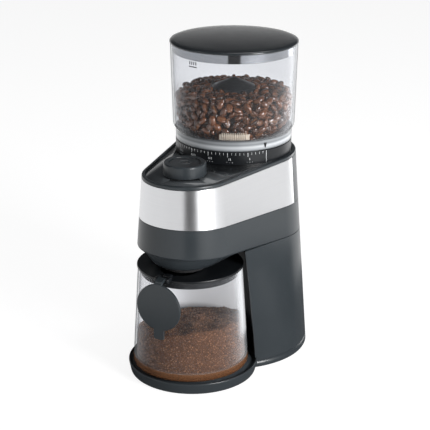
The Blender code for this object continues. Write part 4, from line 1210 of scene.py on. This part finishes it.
def scatter_tree(name, finish):
    tree = Tree(name, Spacing="Float", Density="Float", Seed="Int", Pattern="Object", Tilt="Float",
                Smallest="Float", Largest="Float")
    scatter = tree.node("GeometryNodeDistributePointsOnFaces", {"distribute_method": "POISSON"},
                        {0: tree.enter.outputs[0], "Distance Min": tree.input("Spacing"),
                         "Density Max": tree.input("Density"), "Seed": tree.input("Seed")})
    flat = scatter.node.outputs["Rotation"]
    low_turn = tree.node("ShaderNodeCombineXYZ", {}, {0: 0.0, 1: tree.math("MULTIPLY", tree.input("Tilt"), -1.0),
                                                      2: 0.0})
    high_turn = tree.node("ShaderNodeCombineXYZ", {}, {0: math.tau, 1: tree.input("Tilt"), 2: math.tau})
    turn = tree.node("FunctionNodeRandomValue", {"data_type": "FLOAT_VECTOR"},
                     {0: low_turn, 1: high_turn, "Seed": tree.input("Seed")})
    rotation = tree.node("FunctionNodeRotateRotation", {"rotation_space": "LOCAL"}, {0: flat, 1: turn})
    size = tree.node("FunctionNodeRandomValue", {"data_type": "FLOAT"},
                     {2: tree.input("Smallest"), 3: tree.input("Largest"), "Seed": tree.input("Seed")}, 1)
    pattern = tree.node("GeometryNodeObjectInfo", {}, {"Object": tree.input("Pattern")}, "Geometry")
    placed = tree.node("GeometryNodeInstanceOnPoints", {}, {0: scatter, "Instance": pattern,
                                                            "Rotation": rotation, "Scale": size})
    tone = tree.node("FunctionNodeRandomValue", {"data_type": "FLOAT"}, {"Seed": TONE_SEED}, 1)
    toned = tree.node("GeometryNodeStoreNamedAttribute", {"data_type": "FLOAT", "domain": "INSTANCE"},
                      {0: placed, "Name": "roast", "Value": tone})
    tree.close(toned, finish)
    return tree


# %% [markdown]
# Two beds are filled, one inside the other, so that gaps between the outer beans show beans and not a hole. A
# dark, plain heart stands in for the beans that nobody can see.

# %% Beans in the hopper
BEAN_LEVEL = 274.5
WALL_LOW, WALL_HIGH = 59.9, 60.9        # the hopper's inside at the bed's foot and at the beans' level
GUARD_R = 24.6


def bean_bed(inset, level):
    """The surface that the beans' middles lie on, a little inside the wall."""
    wall_low, wall_high = WALL_LOW - inset, WALL_HIGH - inset
    return [(GUARD_R, 250.0), (GUARD_R, level), (wall_high - 8.0, level - 0.6), (wall_high - 2.5, level - 1.5),
            (wall_high, level - 5.0), (wall_low + 0.2, 247.5), (wall_low - 3.0, 243.0), (42.0, 233.0)]


def lathe_faces(columns, count):
    """The faces between neighbouring columns of count corners, right round."""
    return [(i * count + j, i * count + j + 1, (i + 1) % columns * count + j + 1, (i + 1) % columns * count + j)
            for i in range(columns) for j in range(count - 1)]


def open_turned(profile, steps=96):
    """A turned surface that isn't closed, for scattering on."""
    mesh = bpy.data.meshes.new("bed")
    corners = [at(r * math.cos(math.tau * i / steps), r * math.sin(math.tau * i / steps), z)
               for i in range(steps) for r, z in profile]
    mesh.from_pydata(corners, [], lathe_faces(steps, len(profile)))
    return mesh


bean_tree = scatter_tree("scattered_beans", roasted)
for label, inset, level, seed in (("outer", 4.9, BEAN_LEVEL, 3), ("inner", 9.6, BEAN_LEVEL - 4.8, 11)):
    beans = bean_tree.grow(open_turned(bean_bed(inset, level)), Spacing=6.5 * MM, Density=90000.0, Seed=seed,
                           Pattern=bean_pattern, Tilt=0.42, Smallest=0.92, Largest=1.14)
    piece(f"beans_{label}", beans, roasted, "hopper")
bpy.data.objects.remove(bean_pattern)
heap = [(24.8, 240.0), (24.8, BEAN_LEVEL - 9.0), (49.0, BEAN_LEVEL - 10.0), (49.0, 247.0), (40.0, 238.0),
        (30.0, 232.0)]
dusk = Finish("bean_shadow", (0.022, 0.009, 0.005), 0.7)
dusk.set("Base Color", dusk.between(dusk.noise(5.0), (0.012, 0.005, 0.003), (0.05, 0.02, 0.01)))
piece("beans_heart", turned(heap), dusk, "hopper")

# %% [markdown]
# ## Ground coffee
# The ground coffee settles against the jar's wall, so its side copies the wall and its top is a tilted, lumpy
# surface made from noise in code. A few thousand grains lie in its skin, since a bump alone looks like paint.

# %% Heap of ground coffee
GROUNDS_GAP = 1.0
FILL_Z, RISE_RIGHT, RISE_FRONT, SLOPE_R = 53.2, 9.8, 5.0, 53.0      # the tilted plane that the coffee settles on
MOUND, MOUND_X, MOUND_Y, MOUND_SPREAD = 5.0, 6.0, -8.0, 700.0       # where the spout has dropped the last of it
AROUND, TOP_RINGS, SIDE_RINGS = 120, 22, 10
HUB_R = 0.02


def grounds_level(x, y):
    """Height of the coffee at a place measured from the jar's axis."""
    tilt = FILL_Z + RISE_RIGHT * x / SLOPE_R - RISE_FRONT * y / SLOPE_R
    lump = noise.noise(Vector((x, y, 0.0)) / 17.0) * 3.2 + noise.noise(Vector((x, y, 9.0)) / 6.0) * 1.1
    mound = MOUND * math.exp(-((x - MOUND_X) ** 2 + (y - MOUND_Y) ** 2) / MOUND_SPREAD)
    return tilt + lump + mound


def jar_inside(z):
    return 55.9 - 6.1 * (z - 18.8) / 96.9 - GROUNDS_GAP


def grounds_column(t):
    """Radius and height from the middle of the top, out to the wall, down it and back under the heap."""
    edge_z = grounds_level(52.0 * math.cos(t), 52.0 * math.sin(t))
    radii = [HUB_R + r * (jar_inside(edge_z) - HUB_R) / TOP_RINGS for r in range(TOP_RINGS + 1)]
    top = [(r, grounds_level(r * math.cos(t), r * math.sin(t))) for r in radii[:-1]]
    side = [(jar_inside(z), z) for z in spread(edge_z - 1.5, 19.0, SIDE_RINGS)]
    return top + [(radii[-1], edge_z)] + side + [(53.2, 17.2), (HUB_R, 16.9)]


corners = []
for i in range(AROUND):
    t = math.tau * i / AROUND
    column = grounds_column(t)
    corners += [at(r * math.cos(t), JAR_Y + r * math.sin(t), z) for r, z in column]
grounds_mesh = bpy.data.meshes.new("grounds")
grounds_mesh.from_pydata(corners, [], lathe_faces(AROUND, len(column)))
tidy(grounds_mesh, doubled=0.05, sliver=0.0, fill=True)
print(f"the coffee stands {grounds_level(0.0, 0.0):.0f} mm high in the middle of the jar")

# %% [markdown]
# The grains lie half sunk in the heap's skin, and each has its own depth of roast, so that they sparkle light and
# dark against one another.

# %% Finish and grains of the ground coffee
ground = Finish("ground_coffee", (0.13, 0.06, 0.03), 0.85, Specular_IOR_Level=0.25)
crumb = ground.noise(2.0, detail=5.0, roughness=0.85)
patch = ground.noise(18.0, detail=3.0)
ground.set("Base Color", ground.between(crumb * 1.5 + patch * 0.4 - 0.45, (0.016, 0.0055, 0.0022),
                                        (0.17, 0.072, 0.031)))
ground.set("Roughness", 0.7 + crumb * 0.25)
ground.bump(crumb, 0.8)
piece("ground_coffee", grounds_mesh.copy(), ground, "jar")
bpy.ops.mesh.primitive_ico_sphere_add(subdivisions=1, radius=1.0 * MM)
grain_pattern = bpy.context.object
loose = Finish("coffee_grain", (0.14, 0.065, 0.032), 0.7, Specular_IOR_Level=0.3)
tone = loose.node("Attribute", {"attribute_name": "roast"}, output="Fac")
loose.set("Base Color", loose.between(tone, (0.016, 0.006, 0.003), (0.34, 0.16, 0.08)))
loose.set("Roughness", 0.6 + loose.noise(1.5) * 0.3)
grain_tree = scatter_tree("scattered_grains", loose)
grains = grain_tree.grow(grounds_mesh, Spacing=1.75 * MM, Density=500000.0, Seed=5, Pattern=grain_pattern,
                         Tilt=1.5, Smallest=0.45, Largest=0.9)
bpy.data.objects.remove(grain_pattern)
piece("coffee_grains", grains, loose, "jar")

# %% [markdown]
# ## Size
# The shells have to keep the imported parts' true size, so the imported parts' bounding box is printed.

# %% Size of the imported parts
print("CAD box", [round(v, 4) for v in (*cad_low, *cad_high)])
